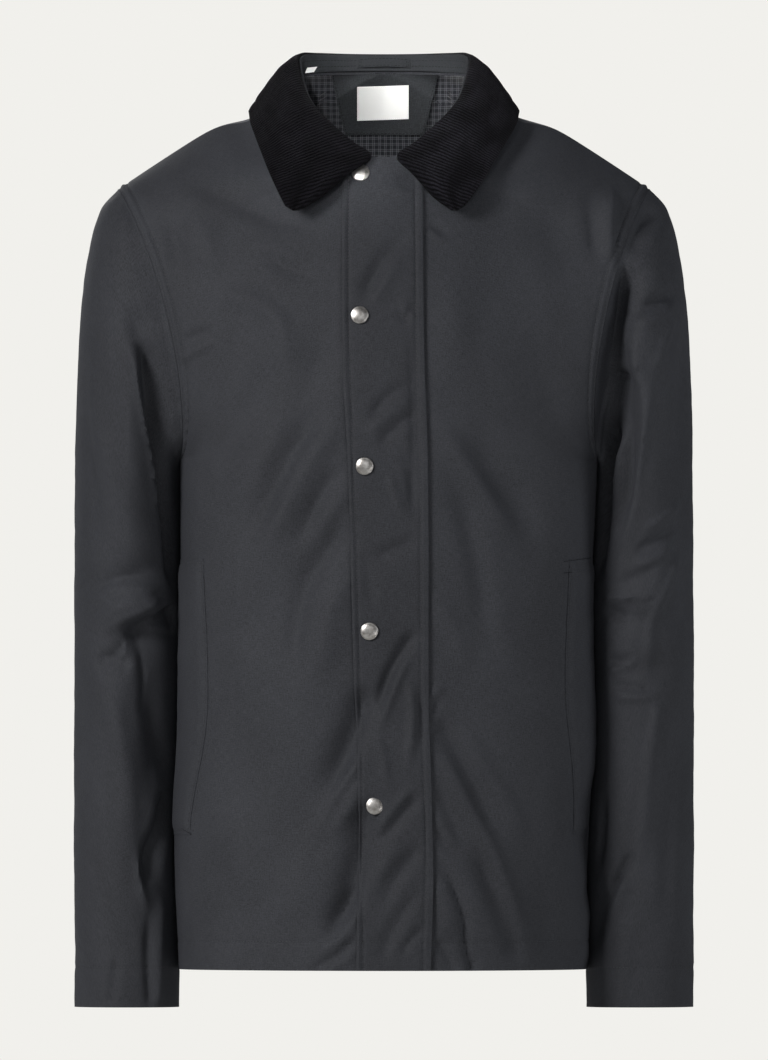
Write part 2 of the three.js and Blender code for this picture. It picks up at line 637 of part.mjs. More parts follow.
// The flap is made from the two fronts' own points between its edges, moved out.
function addFlap() {
  const neckV = LOW_SHARE + (1 - LOW_SHARE) * NECK_SHARE.front;
  const rows = torsoRows('front').filter(v => v <= neckV);
  const grid = rows.map(v => {
    const half = side => frontColumns(side, v).slice(0, FLAP_COLUMNS + 1)
      .map(u => movedOut(torsoNode(side, 'front', u, v), GAP + FLAP));
    return [...half('right').reverse(), ...half('left').slice(1)];
  });
  addPiece('storm_flap', wallGeometry([grid], FLAP), material(0x35373a, 0.55));
}

function addSnaps() {
  const profile = SNAP_PROFILE.map(row => new THREE.Vector2(row.radius, row.height));
  const cap = new THREE.LatheGeometry(profile, 16);
  cap.rotateX(Math.PI / 2);
  SNAPS.forEach((snap, i) => {
    const seat = movedOut(torsoAt('front', snap.x, snap.z), GAP + FLAP + SNAP_LIFT);
    const mesh = addPiece(`snap_${i + 1}`, cap.clone(), material(0x8c8a88, 0.35, 0.9));
    mesh.position.copy(seat.point);
    mesh.quaternion.setFromUnitVectors(new THREE.Vector3(0, 0, 1), seat.out);
  });
}

function addWelt(side) {
  const firstColumn = FLAP_COLUMNS + PLAIN_COLUMNS;
  const grid = WELT_ROWS.map(v => {
    const us = frontColumns(side, v).slice(firstColumn, firstColumn + WELT_COLUMNS + 1);
    const row = us.map(u => movedOut(torsoNode(side, 'front', u, v), GAP + WELT));
    return side === 'right' ? row.reverse() : row;
  });
  addPiece(`pocket_welt_${side}`, wallGeometry([grid], WELT), material(0x37393c, 0.55));
}

// Pieces on the inside of the back neck, in order from the shell inwards.
const LINING_AT = SHELL + GAP;
const FACING_HANG = 2.5;       // the facing hangs free of the lining
const FACING_AT = LINING_AT + THIN + FACING_HANG;
const LABEL_AT = FACING_AT + THIN + GAP;
const LINING_COLUMNS = 6;
const LINING_ROWS = NECK_STEPS + 3;

// The neck lining is made from the back's own points round the neck, moved in.
function addLining() {
  const rows = torsoRows('back').slice(-LINING_ROWS - 1);
  const halves = Object.keys(SIDES).map(side => rows.map(v => {
    const row = BACK_COLUMNS.slice(0, LINING_COLUMNS).map(
      u => movedOut(torsoEdgeNode(side, 'back', u, v), -LINING_AT));
    return side === 'left' ? row.reverse() : row;
  }));
  addPiece('neck_lining', wallGeometry(halves, THIN), material(0x2a2b30, 0.8));
}

const backNeckZ = x => {
  const t = Math.asin(Math.min(Math.abs(x) / NECK.side.x, 1)) / (Math.PI / 2);
  return neckPoint('left', 'back', t).z;
};

// The facing hangs over the lining; the label lies on the middle of it.
const LABEL_EDGES = { left: 20.8, right: -22.6, top: 29.2, bottom: 1.2 };
const LABEL_TILT = 0.034;      // rise per millimetre towards the wearer's left
const FACING_EDGES = { left: 45, right: -44, top: 36, bottom: -11.5 };
const FACING_TAPER = 0.25;     // share by which its bottom is narrower than its top
const FACING_BELOW_SEAM = 1.5;

// A point moved straight forward from the back until it lies this deep inside it.
function insideBack(x, z, depth) {
  const { point, out } = torsoAt('back', x, Math.min(z, backNeckZ(x) - FACING_BELOW_SEAM));
  return { point: point.clone().setY(point.y - depth / out.y), out };
}

function facingNodes(xs, zs, depth) {
  const { top, bottom } = FACING_EDGES;
  return zs.map(z => xs.map(x => {
    const across = x <= LABEL_EDGES.left && x >= LABEL_EDGES.right;
    const along = z <= LABEL_EDGES.top && z >= LABEL_EDGES.bottom;
    const narrowing = across ? 0 : FACING_TAPER * clamp01((top - z) / (top - bottom));
    return insideBack(x * (1 - narrowing), z + (across && along ? LABEL_TILT * x : 0), depth);
  }));
}

function addFacing() {
  const labelXs = steps(LABEL_EDGES.left, LABEL_EDGES.right, 4);
  const labelZs = steps(LABEL_EDGES.bottom, LABEL_EDGES.top, 3);
  const facingXs = [FACING_EDGES.left, 34, ...labelXs, -34, FACING_EDGES.right];
  const facingZs = [FACING_EDGES.bottom, ...labelZs, NECK.back.z];
  addPiece('neck_facing', wallGeometry([facingNodes(facingXs, facingZs, FACING_AT)], THIN),
    material(0x3a3b3d, 0.7));
  addPiece('neck_label', wallGeometry([facingNodes(labelXs, labelZs, LABEL_AT)], LABEL),
    material(0xdbdbd8, 0.8));
}

// Pieces on the inside of the stand. Stations are signed: below zero on the wearer's right.
function standPiece(name, { stations, ups, depth, bow, lean = 0, thickness, paint }) {
  const [first, last] = stations;
  const grid = ups.map(up => steps(last, first, 6).map(station => {
    const side = station < 0 ? 'right' : 'left';
    const share = (station - first) / (last - first);
    const inward = STAND + depth + bow * Math.sin(Math.PI * share);
    const place = Math.abs(station + lean * (up - ups[0]));
    return movedOut(standNode(side, place, up), -inward);
  }));
  addPiece(name, wallGeometry([grid], thickness), paint);
}

const TAB_LIFT = 0.6;          // keeps the flat tab clear of the stand's tight curve

function addLoopAndTab() {
  standPiece('hanger_loop', {
    stations: [-0.092, 0.092], ups: [0.15, 0.45, 0.75], depth: GAP, bow: 2, thickness: THIN,
    paint: material(0x343639, 0.7),
  });
  standPiece('size_tab', {
    stations: [-0.35, -0.285], ups: [0.02, 0.16, 0.3], depth: GAP + TAB_LIFT, bow: 0.3, lean: 0.05,
    thickness: LABEL, paint: material(0xdbdbd8, 0.8),
  });
}

addBody();
addSleeve('right');
addSleeve('left');
addCollar();
addStand();
addFlap();
addSnaps();
addWelt('right');
addWelt('left');
addLining();
addFacing();
addLoopAndTab();

export default jacket;
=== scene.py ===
"""Looks of a short coated-cotton jacket with a corduroy collar, filled out as if worn.

Surfaces are worked out in millimetres in the CAD's frame (+Z up, the front faces -Y, negative x
is the wearer's right) and become metres where a mesh is made.
"""
import math

import bpy
import numpy as np
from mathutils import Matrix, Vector
from mathutils.kdtree import KDTree


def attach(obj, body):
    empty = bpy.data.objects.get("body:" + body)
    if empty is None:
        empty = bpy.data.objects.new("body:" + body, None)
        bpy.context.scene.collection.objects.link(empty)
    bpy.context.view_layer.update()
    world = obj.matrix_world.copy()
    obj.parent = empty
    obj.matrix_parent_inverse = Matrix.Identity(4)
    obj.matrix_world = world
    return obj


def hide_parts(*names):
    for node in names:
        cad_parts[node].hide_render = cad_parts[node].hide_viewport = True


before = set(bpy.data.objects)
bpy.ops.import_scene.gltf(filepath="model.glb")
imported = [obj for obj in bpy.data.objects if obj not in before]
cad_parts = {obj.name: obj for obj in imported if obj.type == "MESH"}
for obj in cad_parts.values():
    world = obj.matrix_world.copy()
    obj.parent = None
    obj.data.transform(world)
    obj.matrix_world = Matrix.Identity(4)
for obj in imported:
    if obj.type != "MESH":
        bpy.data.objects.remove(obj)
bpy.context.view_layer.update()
MM = 0.001

# ------------------------------------------------------------------ driving sizes, as in the CAD
HEM_Z, ARMPIT_Z, SIDE_Y = -713.0, -285.0, -10.0
SHELL, COLLAR_LEAF, STAND, FLAP, WELT, THIN, LABEL, GAP = 2.0, 2.4, 1.6, 2.2, 1.8, 0.8, 0.5, 0.3
SEWN_GAP = 0.04                # between panels that are sewn together
NECK = {"front": (0, -82, -32), "side": (74, 2, 38), "back": (0, 58, 41)}


def table(names, rows):
    return dict(zip(names.split(), np.array(rows, float).T))


BODY = table("z right left", [
    (-715, 172, 170), (-650, 175, 170), (-595, 176, 172), (-520, 172.5, 176), (-400, 171, 174),
    (-336, 171, 177), (-285, 171, 179.5)])
MIDDLE = table("z front back", [
    (-715, -137, 122), (-640, -134, 118), (-560, -131, 114), (-470, -129, 111), (-380, -130, 113),
    (-285, -131, 118), (-200, -126, 120), (-130, -115, 116), (-80, -101, 108), (-32, -82, 96),
    (0, -74, 84), (41, -70, 58)])
WRAP = table("rise front back", [
    (0.35, 62, 62), (0.5, 54, 54), (0.7, 43, 46), (0.86, 32, 36), (1, 20, 20)])
SLEEVE = table("along crownX crownZ crownY beside underZ underY front back inset hollow", [
    (0, 223, -58, 4, 0, -285, -10, -70, 66, 17, 2.0),
    (0.04, 237.5, -75, 7, 0.9, -289, -5, -73, 69, 11, 1.85),
    (0.11, 248, -110, 11, 0.6, -295, 0, -74, 73, 5, 1.6),
    (0.19, 254.5, -158, 16, 0.1, -304, 5, -70, 77, 1, 1.5),
    (0.28, 258, -218, 21, -0.8, -320, 10, -64, 80, 0, 1.5),
    (0.37, 259.5, -282, 25, -1.8, -346, 15, -57, 82, 0, 1.6),
    (0.47, 260, -350, 28, -3, -385, 21, -50, 83, 0, 1.9),
    (0.58, 260.5, -430, 29, -3, -442, 25, -45, 82, 0, 2.2),
    (0.72, 260.5, -530, 26, -3, -532, 26, -41, 77, 0, 2.3),
    (0.85, 260.5, -628, 20, -1.6, -628, 22, -39, 67, 0, 2.3),
    (0.94, 260, -694, 14, -0.7, -694, 18, -38, 60, 0, 2.3),
    (1, 260, -745, 12, 0, -745, 15, -38, 58, 0, 2.3)])
LEAF = table("at inX inY inZ outX outY outZ inSwing outSwing", [
    (-0.13, -30, 63, 56.4, -44, 101, -1, 0, 0),
    (0, 0, 68, 56.2, 0, 108, -2, 0, 0),
    (0.13, 30, 63, 56.4, 44, 101, -1, 0, 0),
    (0.26, 56, 46, 57, 84, 76, 1.5, 0, 0),
    (0.37, 70, 22, 56.4, 108, 40, 5.6, 0, 0),
    (0.46, 72.5, 2, 49.6, 113.5, 6, 7, 0, 0),
    (0.55, 65.5, -30, 24, 111.5, -30, -5, 0, 1),
    (0.63, 55.4, -50, 8.4, 106, -55, -20, 0, 4),
    (0.71, 41, -66, -6, 101, -73, -33, 0, 7),
    (0.78, 26, -79, -19, 96, -86, -45, 0, 9),
    (0.85, 11, -90, -31, 91, -96, -56, 0, 11),
    (0.91, 28.6, -96, -45.4, 86.5, -101, -65.5, 5, 13),
    (0.96, 49.6, -101, -64, 83, -104, -72, 10, 15),
    (1, 68, -105, -77.3, 79.8, -106, -76.4, 14, 16)])
LEAF_PUFF = {"back": 5, "point": 1.5}
SHOULDER_STATION, FOLD_END_STATION = 0.46, 0.85
FLAP_EDGES = table("z free sewn", [
    (-715, -23.5, 38.6), (-640, -22.5, 40.5), (-571, -21.8, 39.5), (-487, -25, 37),
    (-290, -30.5, 36.3), (-193, -35.3, 33), (-32, -35.3, 31.5)])
SNAPS = [(-19, -46.5), (-20, -165), (-16, -291), (-12, -429), (-7.6, -575)]
SNAP_LIFT = 0.45
WELT_TOP, WELT_BOTTOM = -369, -600
WELT_ROUND = {"top": 0.69, "middle": 0.66, "bottom": 0.75, "mouth": 0.965}
LOW_SHARE = 0.56
NECK_SHARE = {"front": 0.7, "back": 0.78}
LEVEL_START = 0.12
SLEEVE_RADIUS = 58
# Rows of stitches, by how far they run inside an edge; the welt's rows also have a seed.
HEM_STITCH, CUFF_STITCH, COLLAR_STITCH = 24.5, 34, 8.5
ARMHOLE_STITCHES = (1.7, 8.2)
WELT_STITCHES = (("start", 3, 31), ("high", 3, 32), ("high", 10, 33), ("low", 3, 34))
# Fabric coordinates: half a panel's width, its height, and where those of some pieces start.
CLOTH_WIDTH, CLOTH_HEIGHT = 240, 765
FLAP_CLOTH_START, LEFT_SLEEVE_CLOTH_START, BACK_CLOTH_START = 300, 500, 700
COLLAR_CLOTH, COLLAR_DEPTH, STAND_LENGTH, STAND_HEIGHT = 60, 55, 250, 40
WALE, WALE_TALL, CHECK_PITCH, THREAD_TURN = 3.0, 0.6, 5.1, 9.0
SIDES = {"right": -1, "left": 1}

# The largest folds: a line, a half width and a height along the outward direction.
FRONT_FOLDS = [
    (-40, -205, -128, -330, 24, 4.5), (-66, -190, -150, -290, 18, -3.5),
    (-38, -320, -110, -455, 22, -4), (-20, -355, -80, -520, 22, 3.5),
    (-30, -500, -95, -640, 24, -3.5), (-24, -590, -60, -715, 20, 3),
    (44, -150, 120, -250, 26, 3.5), (46, -260, 135, -345, 24, -4),
    (44, -330, 112, -470, 24, 3.5), (44, -470, 96, -600, 22, -3.5),
    (42, -600, 110, -712, 22, 3.5), (188, -60, 194, -128, 9, 3.5)]
BACK_FOLDS = [
    (-120, -190, -40, -300, 26, 4), (-150, -260, -70, -370, 24, -4),
    (30, -230, 128, -330, 26, -4), (20, -330, 110, -440, 24, 4),
    (-90, -440, 20, -520, 28, 3.5), (-20, -560, 90, -640, 26, -3.5),
    (-130, -540, -60, -690, 24, 3.5)]
SLEEVE_FOLDS = {
    "right": [
        (30, -392, 150, -372, 11, -4.5), (120, -415, 55, -448, 13, -6),
        (60, -418, 120, -398, 12, 3.5), (110, -470, 150, -560, 15, -5),
        (100, -580, 140, -660, 14, -4.5), (250, -380, 330, -430, 14, -5),
        (215, -440, 300, -400, 14, 4)],
    "left": [
        (45, -152, 85, -165, 10, -3), (60, -425, 140, -412, 11, -5),
        (50, -455, 130, -468, 12, -4), (60, -360, 100, -440, 13, 4),
        (120, -640, 150, -700, 13, -4), (240, -390, 320, -420, 14, -5),
        (225, -470, 310, -440, 14, 4)]}


# ------------------------------------------------------------------ small helpers
def ease(t):
    t = np.clip(t, 0, 1)
    return t * t * (3 - 2 * t)


def mix(a, b, t):
    return a + (b - a) * t


def read(tab, key, column, place):
    """The value of one column of a table at a place, on a smooth curve through its rows."""
    keys, values = tab[key], tab[column]
    last = len(keys) - 1
    place = np.asarray(place, float)
    i = np.searchsorted(keys[1:last], place, side="left")
    rows = np.arange(last + 1)
    before, after = np.maximum(rows - 1, 0), np.minimum(rows + 1, last)
    slope = (values[after] - values[before]) / (keys[after] - keys[before])
    span = keys[i + 1] - keys[i]
    t = np.clip((place - keys[i]) / span, 0, 1)
    return (values[i] * (1 + 2 * t) * (1 - t) ** 2 + values[i + 1] * t ** 2 * (3 - 2 * t)
            + span * t * (1 - t) * (slope[i] * (1 - t) - slope[i + 1] * t))


def vec(x, y, z):
    return np.stack(np.broadcast_arrays(x, y, z), axis=-1).astype(float)


def unit(v):
    return v / np.maximum(np.linalg.norm(v, axis=-1, keepdims=True), 1e-9)


def flipped(*grids):
    """Grids with their columns in reverse order."""
    return tuple(grid[:, ::-1] for grid in grids)


def surface_frame(base, a, b, flip):
    """Points of a surface, and its outward directions, level where the first parameter is 0."""
    e = 1e-3
    a, b = np.broadcast_arrays(np.asarray(a, float), np.asarray(b, float))
    along = base(np.minimum(a + e, 1), b) - base(np.maximum(a - e, 0), b)
    up = base(a, np.minimum(b + e, 1)) - base(a, np.maximum(b - e, 0))
    out = np.cross(along, up)
    if flip:
        out = -out
    out[..., 0] = np.where(a == 0, 0, out[..., 0])
    return base(a, b), unit(out)


def line_height(folds, x, z):
    """Height of straight folds at x, z in the view that their lines are drawn in."""
    height = np.zeros(np.broadcast(x, z).shape)
    for x0, z0, x1, z1, width, tall in folds:
        dx, dz = x1 - x0, z1 - z0
        t = ((x - x0) * dx + (z - z0) * dz) / (dx * dx + dz * dz)
        off = np.hypot(x - x0 - t * dx, z - z0 - t * dz)
        swell = np.sin(np.pi * np.clip(t, 0, 1))
        height += tall * swell * np.exp(-(off / width) ** 2)
    return height


def smooth_line(points, count):
    """Points of a smooth curve through a few given ones."""
    points = np.array(points, float)
    along = np.concatenate([[0], np.cumsum(np.linalg.norm(np.diff(points, axis=0), axis=1))])
    rows = {"at": along}
    for k in range(points.shape[1]):
        rows[str(k)] = points[:, k]
    places = np.linspace(0, along[-1], count)
    if len(points) == 2:
        return np.stack([np.interp(places, along, points[:, k]) for k in range(points.shape[1])], 1)
    return np.stack([read(rows, "at", str(k), places) for k in range(points.shape[1])], 1)


def crease_height(creases, x, z):
    """Height of soft curved creases: each is (points, left width, right width, height, ends)."""
    height = np.zeros(np.broadcast(x, z).shape)
    for points, left, right, tall, ends in creases:
        line = smooth_line(points, 14)
        reach = 2.6 * max(left, right)
        low, high = line.min(0) - reach, line.max(0) + reach
        near = (x > low[0]) & (x < high[0]) & (z > low[1]) & (z < high[1])
        if not near.any():
            continue
        px, pz = np.broadcast_to(x, near.shape)[near], np.broadcast_to(z, near.shape)[near]
        best = np.full(px.shape, np.inf)
        signed, where = np.zeros(px.shape), np.zeros(px.shape)
        count = len(line) - 1
        for k in range(count):
            ax, az = line[k]
            dx, dz = line[k + 1] - line[k]
            length2 = dx * dx + dz * dz
            t = np.clip(((px - ax) * dx + (pz - az) * dz) / length2, 0, 1)
            off = np.hypot(px - ax - t * dx, pz - az - t * dz)
            closer = off < best
            best = np.where(closer, off, best)
            side = (pz - az) * dx - (px - ax) * dz
            signed = np.where(closer, np.sign(side), signed)
            where = np.where(closer, (k + t) / count, where)
        width = np.where(signed > 0, left, right)
        swell = np.minimum(ease(where / ends[0]) if ends[0] else 1,
                           ease((1 - where) / ends[1]) if ends[1] else 1)
        height[near] += tall * swell * np.exp(-(best / width) ** 2)
    return height


def waves(x, z, scale, seed):
    """A gentle uneven surface of about one unit high, the same on every run."""
    count = 7
    rng = np.random.default_rng(seed)
    total = np.zeros(np.broadcast(x, z).shape)
    for _ in range(count):
        angle, phase = rng.uniform(0, 2 * np.pi, 2)
        size = scale * rng.uniform(0.6, 1.6)
        total += np.sin((x * np.cos(angle) + z * np.sin(angle)) * 2 * np.pi / size + phase)
    return total / math.sqrt(count)


# ------------------------------------------------------------------ sleeve and armhole surface
def sleeve_base(side, around, along):
    """Round 0 is the crown, then front, underarm and back; along runs from armhole to cuff."""
    around, along = np.broadcast_arrays(np.asarray(around, float), np.asarray(along, float))
    col = {name: read(SLEEVE, "along", name, along) for name in SLEEVE if name != "along"}
    turn = 2 * np.pi * around
    cos, sin = np.cos(turn), np.sin(turn)
    inner, front = cos < 0, sin >= 0
    power = 2 / np.where(inner & front, col["hollow"], 2)
    across, deep = np.abs(cos) ** power, np.abs(sin)
    w = np.where(inner, 0.5 + 0.5 * across, 0.5 - 0.5 * across)
    extreme = np.where(front, col["front"], col["back"])
    rest = np.where(inner, col["underY"], col["crownY"])
    under = read(BODY, "z", side, col["underZ"]) + col["beside"]
    return vec(SIDES[side] * (mix(col["crownX"], under, w) - col["inset"] * deep ** 1.6),
               mix(rest, extreme, deep ** power), mix(col["crownZ"], col["underZ"], w))


def sleeve_frame(side, around, along):
    """The bare sleeve's points and outward directions."""
    e = 2e-3
    turnwise = sleeve_base(side, around + e, along) - sleeve_base(side, around - e, along)
    down = (sleeve_base(side, around, np.minimum(along + e, 1))
            - sleeve_base(side, around, np.maximum(along - e, 0)))
    return sleeve_base(side, around, along), unit(np.cross(turnwise, down) * SIDES[side])


def sleeve_arc(around):
    return np.radians(360 * (around % 1)) * SLEEVE_RADIUS


def armhole_out(side, around, own):
    e = 1e-3
    point = sleeve_base(side, around, 0)
    tangent = unit(sleeve_base(side, around + e, 0) - sleeve_base(side, around - e, 0))
    centre = (sleeve_base(side, 0, 0) + sleeve_base(side, 0.5, 0)) / 2
    radial = point - centre
    radial = unit(radial - tangent * np.sum(radial * tangent, -1, keepdims=True))
    lowness = (1 - np.cos(2 * np.pi * around)) / 2
    return unit(mix(radial, own, ease((lowness - 0.5) / 0.35)[..., None]))


# ------------------------------------------------------------------ torso surface
def front_middle(z):
    return (read(FLAP_EDGES, "z", "free", z) + read(FLAP_EDGES, "z", "sewn", z)) / 2


def neck_point(side, face, t):
    _, y0, z0 = NECK[face]
    sine, rise = np.sin(t * np.pi / 2), 1 - np.cos(t * np.pi / 2)
    start = float(front_middle(z0)) if face == "front" else 0.0
    return vec(mix(start, SIDES[side] * NECK["side"][0], sine),
               mix(y0, NECK["side"][1], rise), mix(z0, NECK["side"][2], rise))


def shoulder_form(w):
    return (6 * w * w * (1 - w)
            - 14 * np.exp(-((w - 0.235) / 0.155) ** 2) * (1 - np.exp(-w / 0.05)))


def armhole_turn(face, rise):
    """How far round the armhole the edge of a panel lies, from the underarm up."""
    return 0.5 * (1 - rise) if face == "front" else 0.5 * (1 + rise)


def mirrored(side, face):
    return (SIDES[side] > 0) != (face == "front")


def torso_base(side, face, u, v):
    """u runs from the middle of the front or back to the side, v from the hem to the shoulder."""
    u, v = np.broadcast_arrays(np.asarray(u, float), np.asarray(v, float))
    low = v <= LOW_SHARE
    rise = np.where(low, 0, (v - LOW_SHARE) / (1 - LOW_SHARE))
    share = NECK_SHARE[face]
    z = mix(HEM_Z, ARMPIT_Z, v / LOW_SHARE)
    middle_z = np.where(low, z, mix(ARMPIT_Z, NECK[face][2], np.minimum(rise / share, 1)))
    start = vec(front_middle(middle_z) if face == "front" else 0 * z,
                read(MIDDLE, "z", face, middle_z), middle_z)
    neck = neck_point(side, face, np.clip((rise - share) / (1 - share), 0, 1))
    start = np.where((rise > share)[..., None], neck, start)
    end = np.where(low[..., None], vec(SIDES[side] * read(BODY, "z", side, z), SIDE_Y, z),
                   sleeve_base(side, armhole_turn(face, rise), 0))
    part = np.clip((end[..., 1] - SIDE_Y) / (start[..., 1] - SIDE_Y), 0, 1)
    upper_wrap = np.radians(read(WRAP, "rise", face, rise))
    wrap = mix(np.arccos(part), upper_wrap, ease((rise - 0.3) / 0.3))
    w = np.sin(u * wrap) / np.sin(wrap)
    fall = w * w * (1 + LEVEL_START) / (w + LEVEL_START)
    fall = mix(fall, w, ease((rise - share) / (1 - share)))
    return vec(mix(start[..., 0], end[..., 0], w),
               mix(start[..., 1], end[..., 1], (1 - np.cos(u * wrap)) / (1 - np.cos(wrap))),
               mix(start[..., 2], end[..., 2], fall) + shoulder_form(w) * rise ** 4)


def torso_frame(side, face, u, v):
    """The bare torso's points and outward directions."""
    return surface_frame(lambda a, b: torso_base(side, face, a, b), u, v, mirrored(side, face))


# ------------------------------------------------------------------ collar surfaces
def leaf_base(side, station, across):
    station, across = np.broadcast_arrays(np.asarray(station, float), np.asarray(across, float))
    col = {name: read(LEAF, "at", name, station) for name in LEAF if name != "at"}
    swing = 1 if side == "left" else 0
    inner = vec(SIDES[side] * (col["inX"] - swing * col["inSwing"]), col["inY"], col["inZ"])
    outer = vec(SIDES[side] * (col["outX"] - swing * col["outSwing"]), col["outY"], col["outZ"])
    return mix(inner, outer, across[..., None])


def leaf_frame(side, station, across):
    """Points and outward directions of the leaf with its soft belly."""
    point, out = surface_frame(lambda a, b: leaf_base(side, a, b), station, across, side == "right")
    puff = mix(LEAF_PUFF["back"], LEAF_PUFF["point"], ease((station - 0.5) / 0.4))
    return point + out * (puff * np.sin(np.pi * across ** 0.7))[..., None], out


def seam_point(side, station):
    back = neck_point(side, "back", station / SHOULDER_STATION)
    left_over = (FOLD_END_STATION - station) / (FOLD_END_STATION - SHOULDER_STATION)
    front = neck_point(side, "front", left_over)
    return np.where((station <= SHOULDER_STATION)[..., None], back, front)


def stand_base(side, station, up):
    station, up = np.broadcast_arrays(np.asarray(station, float), np.asarray(up, float))
    fold, out = leaf_frame(side, station, 0 * station)
    top = fold - out * (COLLAR_LEAF + GAP)
    return mix(seam_point(side, station) + [0, 0, GAP], top, up[..., None])


def stand_frame(side, station, up):
    return surface_frame(lambda a, b: stand_base(side, a, b), station, up, side == "left")


# ------------------------------------------------------------------ meshes
def make_mesh(name, points, faces, materials, face_material=None, cloth=None, sharp=None):
    """A mesh object from millimetre points; cloth holds flat fabric coordinates in millimetres."""
    mesh = bpy.data.meshes.new(name)
    mesh.from_pydata((np.asarray(points) * MM).tolist(), [], [list(f) for f in faces])
    if cloth is not None:
        layer = mesh.attributes.new("cloth", "FLOAT_VECTOR", "POINT")
        flat = np.zeros((len(points), 3), np.float32)
        flat[:, :cloth.shape[1]] = cloth
        layer.data.foreach_set("vector", flat.ravel())
    mesh.polygons.foreach_set("use_smooth", [True] * len(mesh.polygons))
    if sharp is not None:
        mesh.set_sharp_from_angle(angle=math.radians(sharp))
    for material in materials:
        mesh.materials.append(material)
    if face_material is not None:
        mesh.polygons.foreach_set("material_index", face_material)
    mesh.update()
    piece = bpy.data.objects.new(name, mesh)
    bpy.context.scene.collection.objects.link(piece)
    return piece


def shell(name, grids, thickness, materials, cloth):
    """A closed wall from grids of (points, outward directions), joined where their points meet.
    The first material is outside and on the rim, the second one inside. Thickness is one number,
    or an array for each grid; cloth holds the fabric coordinates of each grid."""
    if not isinstance(thickness, list):
        thickness = [np.full(g[0].shape[:2], thickness) for g in grids]
    wall = np.concatenate([t.ravel() for t in thickness])
    points = np.concatenate([g[0].reshape(-1, 3) for g in grids])
    outs = np.concatenate([g[1].reshape(-1, 3) for g in grids])
    quads, offset = [], 0
    for grid in grids:
        rows, cols = grid[0].shape[:2]
        index = offset + np.arange(rows * cols).reshape(rows, cols)
        quads.append(np.stack([index[:-1, :-1], index[:-1, 1:], index[1:, 1:], index[1:, :-1]],
                              -1).reshape(-1, 4))
        offset += rows * cols
    quads = np.concatenate(quads)
    _, first, same = np.unique(np.round(points * 200).astype(np.int64), axis=0,
                               return_index=True, return_inverse=True)
    quads = same.ravel()[quads]
    points, outs = points[first], outs[first]
    faces = []
    for quad in quads.tolist():
        kept = [v for k, v in enumerate(quad) if v != quad[k - 1]]
        if len(set(kept)) == len(kept) > 2:
            faces.append(kept)
    edges = {(f[k - 1], f[k]) for f in faces for k in range(len(f))}
    count = len(points)
    rim = [(q, p, count + p, count + q) for p, q in edges if (q, p) not in edges]
    inside = [[count + v for v in reversed(f)] for f in faces]
    everything = faces + inside + rim
    which = [0] * len(faces) + [min(1, len(materials) - 1)] * len(inside) + [0] * len(rim)
    both = np.concatenate([points, points - outs * wall[first][:, None]])
    flat = np.concatenate([c.reshape(-1, c.shape[-1]) for c in cloth])[first]
    flat = np.concatenate([flat, flat])
    return make_mesh(f"{name}_cloth", both, everything, materials, which, flat, sharp=50)


def threads(name, runs, material, radius=0.24, length=2.3, pitch=3.1):
    """Rows of stitches: each run is (points, outward directions) of the cloth's surface."""
    points, faces = [], []
    ring = np.array([(0, 1), (0.87, -0.5), (-0.87, -0.5)])
    for line, outs in runs:
        steps = np.linalg.norm(np.diff(line, axis=0), axis=1)
        at = np.concatenate([[0], np.cumsum(steps)])
        for start in np.arange(pitch / 2, at[-1] - length, pitch):
            spots = start + length * np.array([0, 0.2, 0.8, 1])
            sizes, lifts = [0.35, 1, 1, 0.35], [-0.12, 0.1, 0.1, -0.12]
            place = np.stack([np.interp(spots, at, line[:, k]) for k in range(3)], 1)
            out = unit(np.stack([np.interp(spots, at, outs[:, k]) for k in range(3)], 1))
            along = unit(place[-1] - place[0])
            across = unit(np.cross(along, out))
            base = len(points)
            for k in range(4):
                centre = place[k] + out[k] * lifts[k]
                for a, b in ring:
                    points.append(centre + (across[k] * a + out[k] * b) * radius * sizes[k])
            for k in range(3):
                for j in range(3):
                    a, b = base + 3 * k + j, base + 3 * k + (j + 1) % 3
                    faces.append((a, b, b + 3, a + 3))
            faces.append((base + 2, base + 1, base))
            faces.append((base + 9, base + 10, base + 11))
    return make_mesh(name, points, faces, [material])


def finish_piece(piece, slot, *nodes):
    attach(piece, "root")
    if nodes:
        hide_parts(*nodes)


def cloth_piece(name, slot, materials, grids, thickness, cloth, **cut):
    """A shell in place of the node of its own name."""
    piece = shell(name, grids, thickness, materials, cloth)
    finish_piece(piece, slot, name)


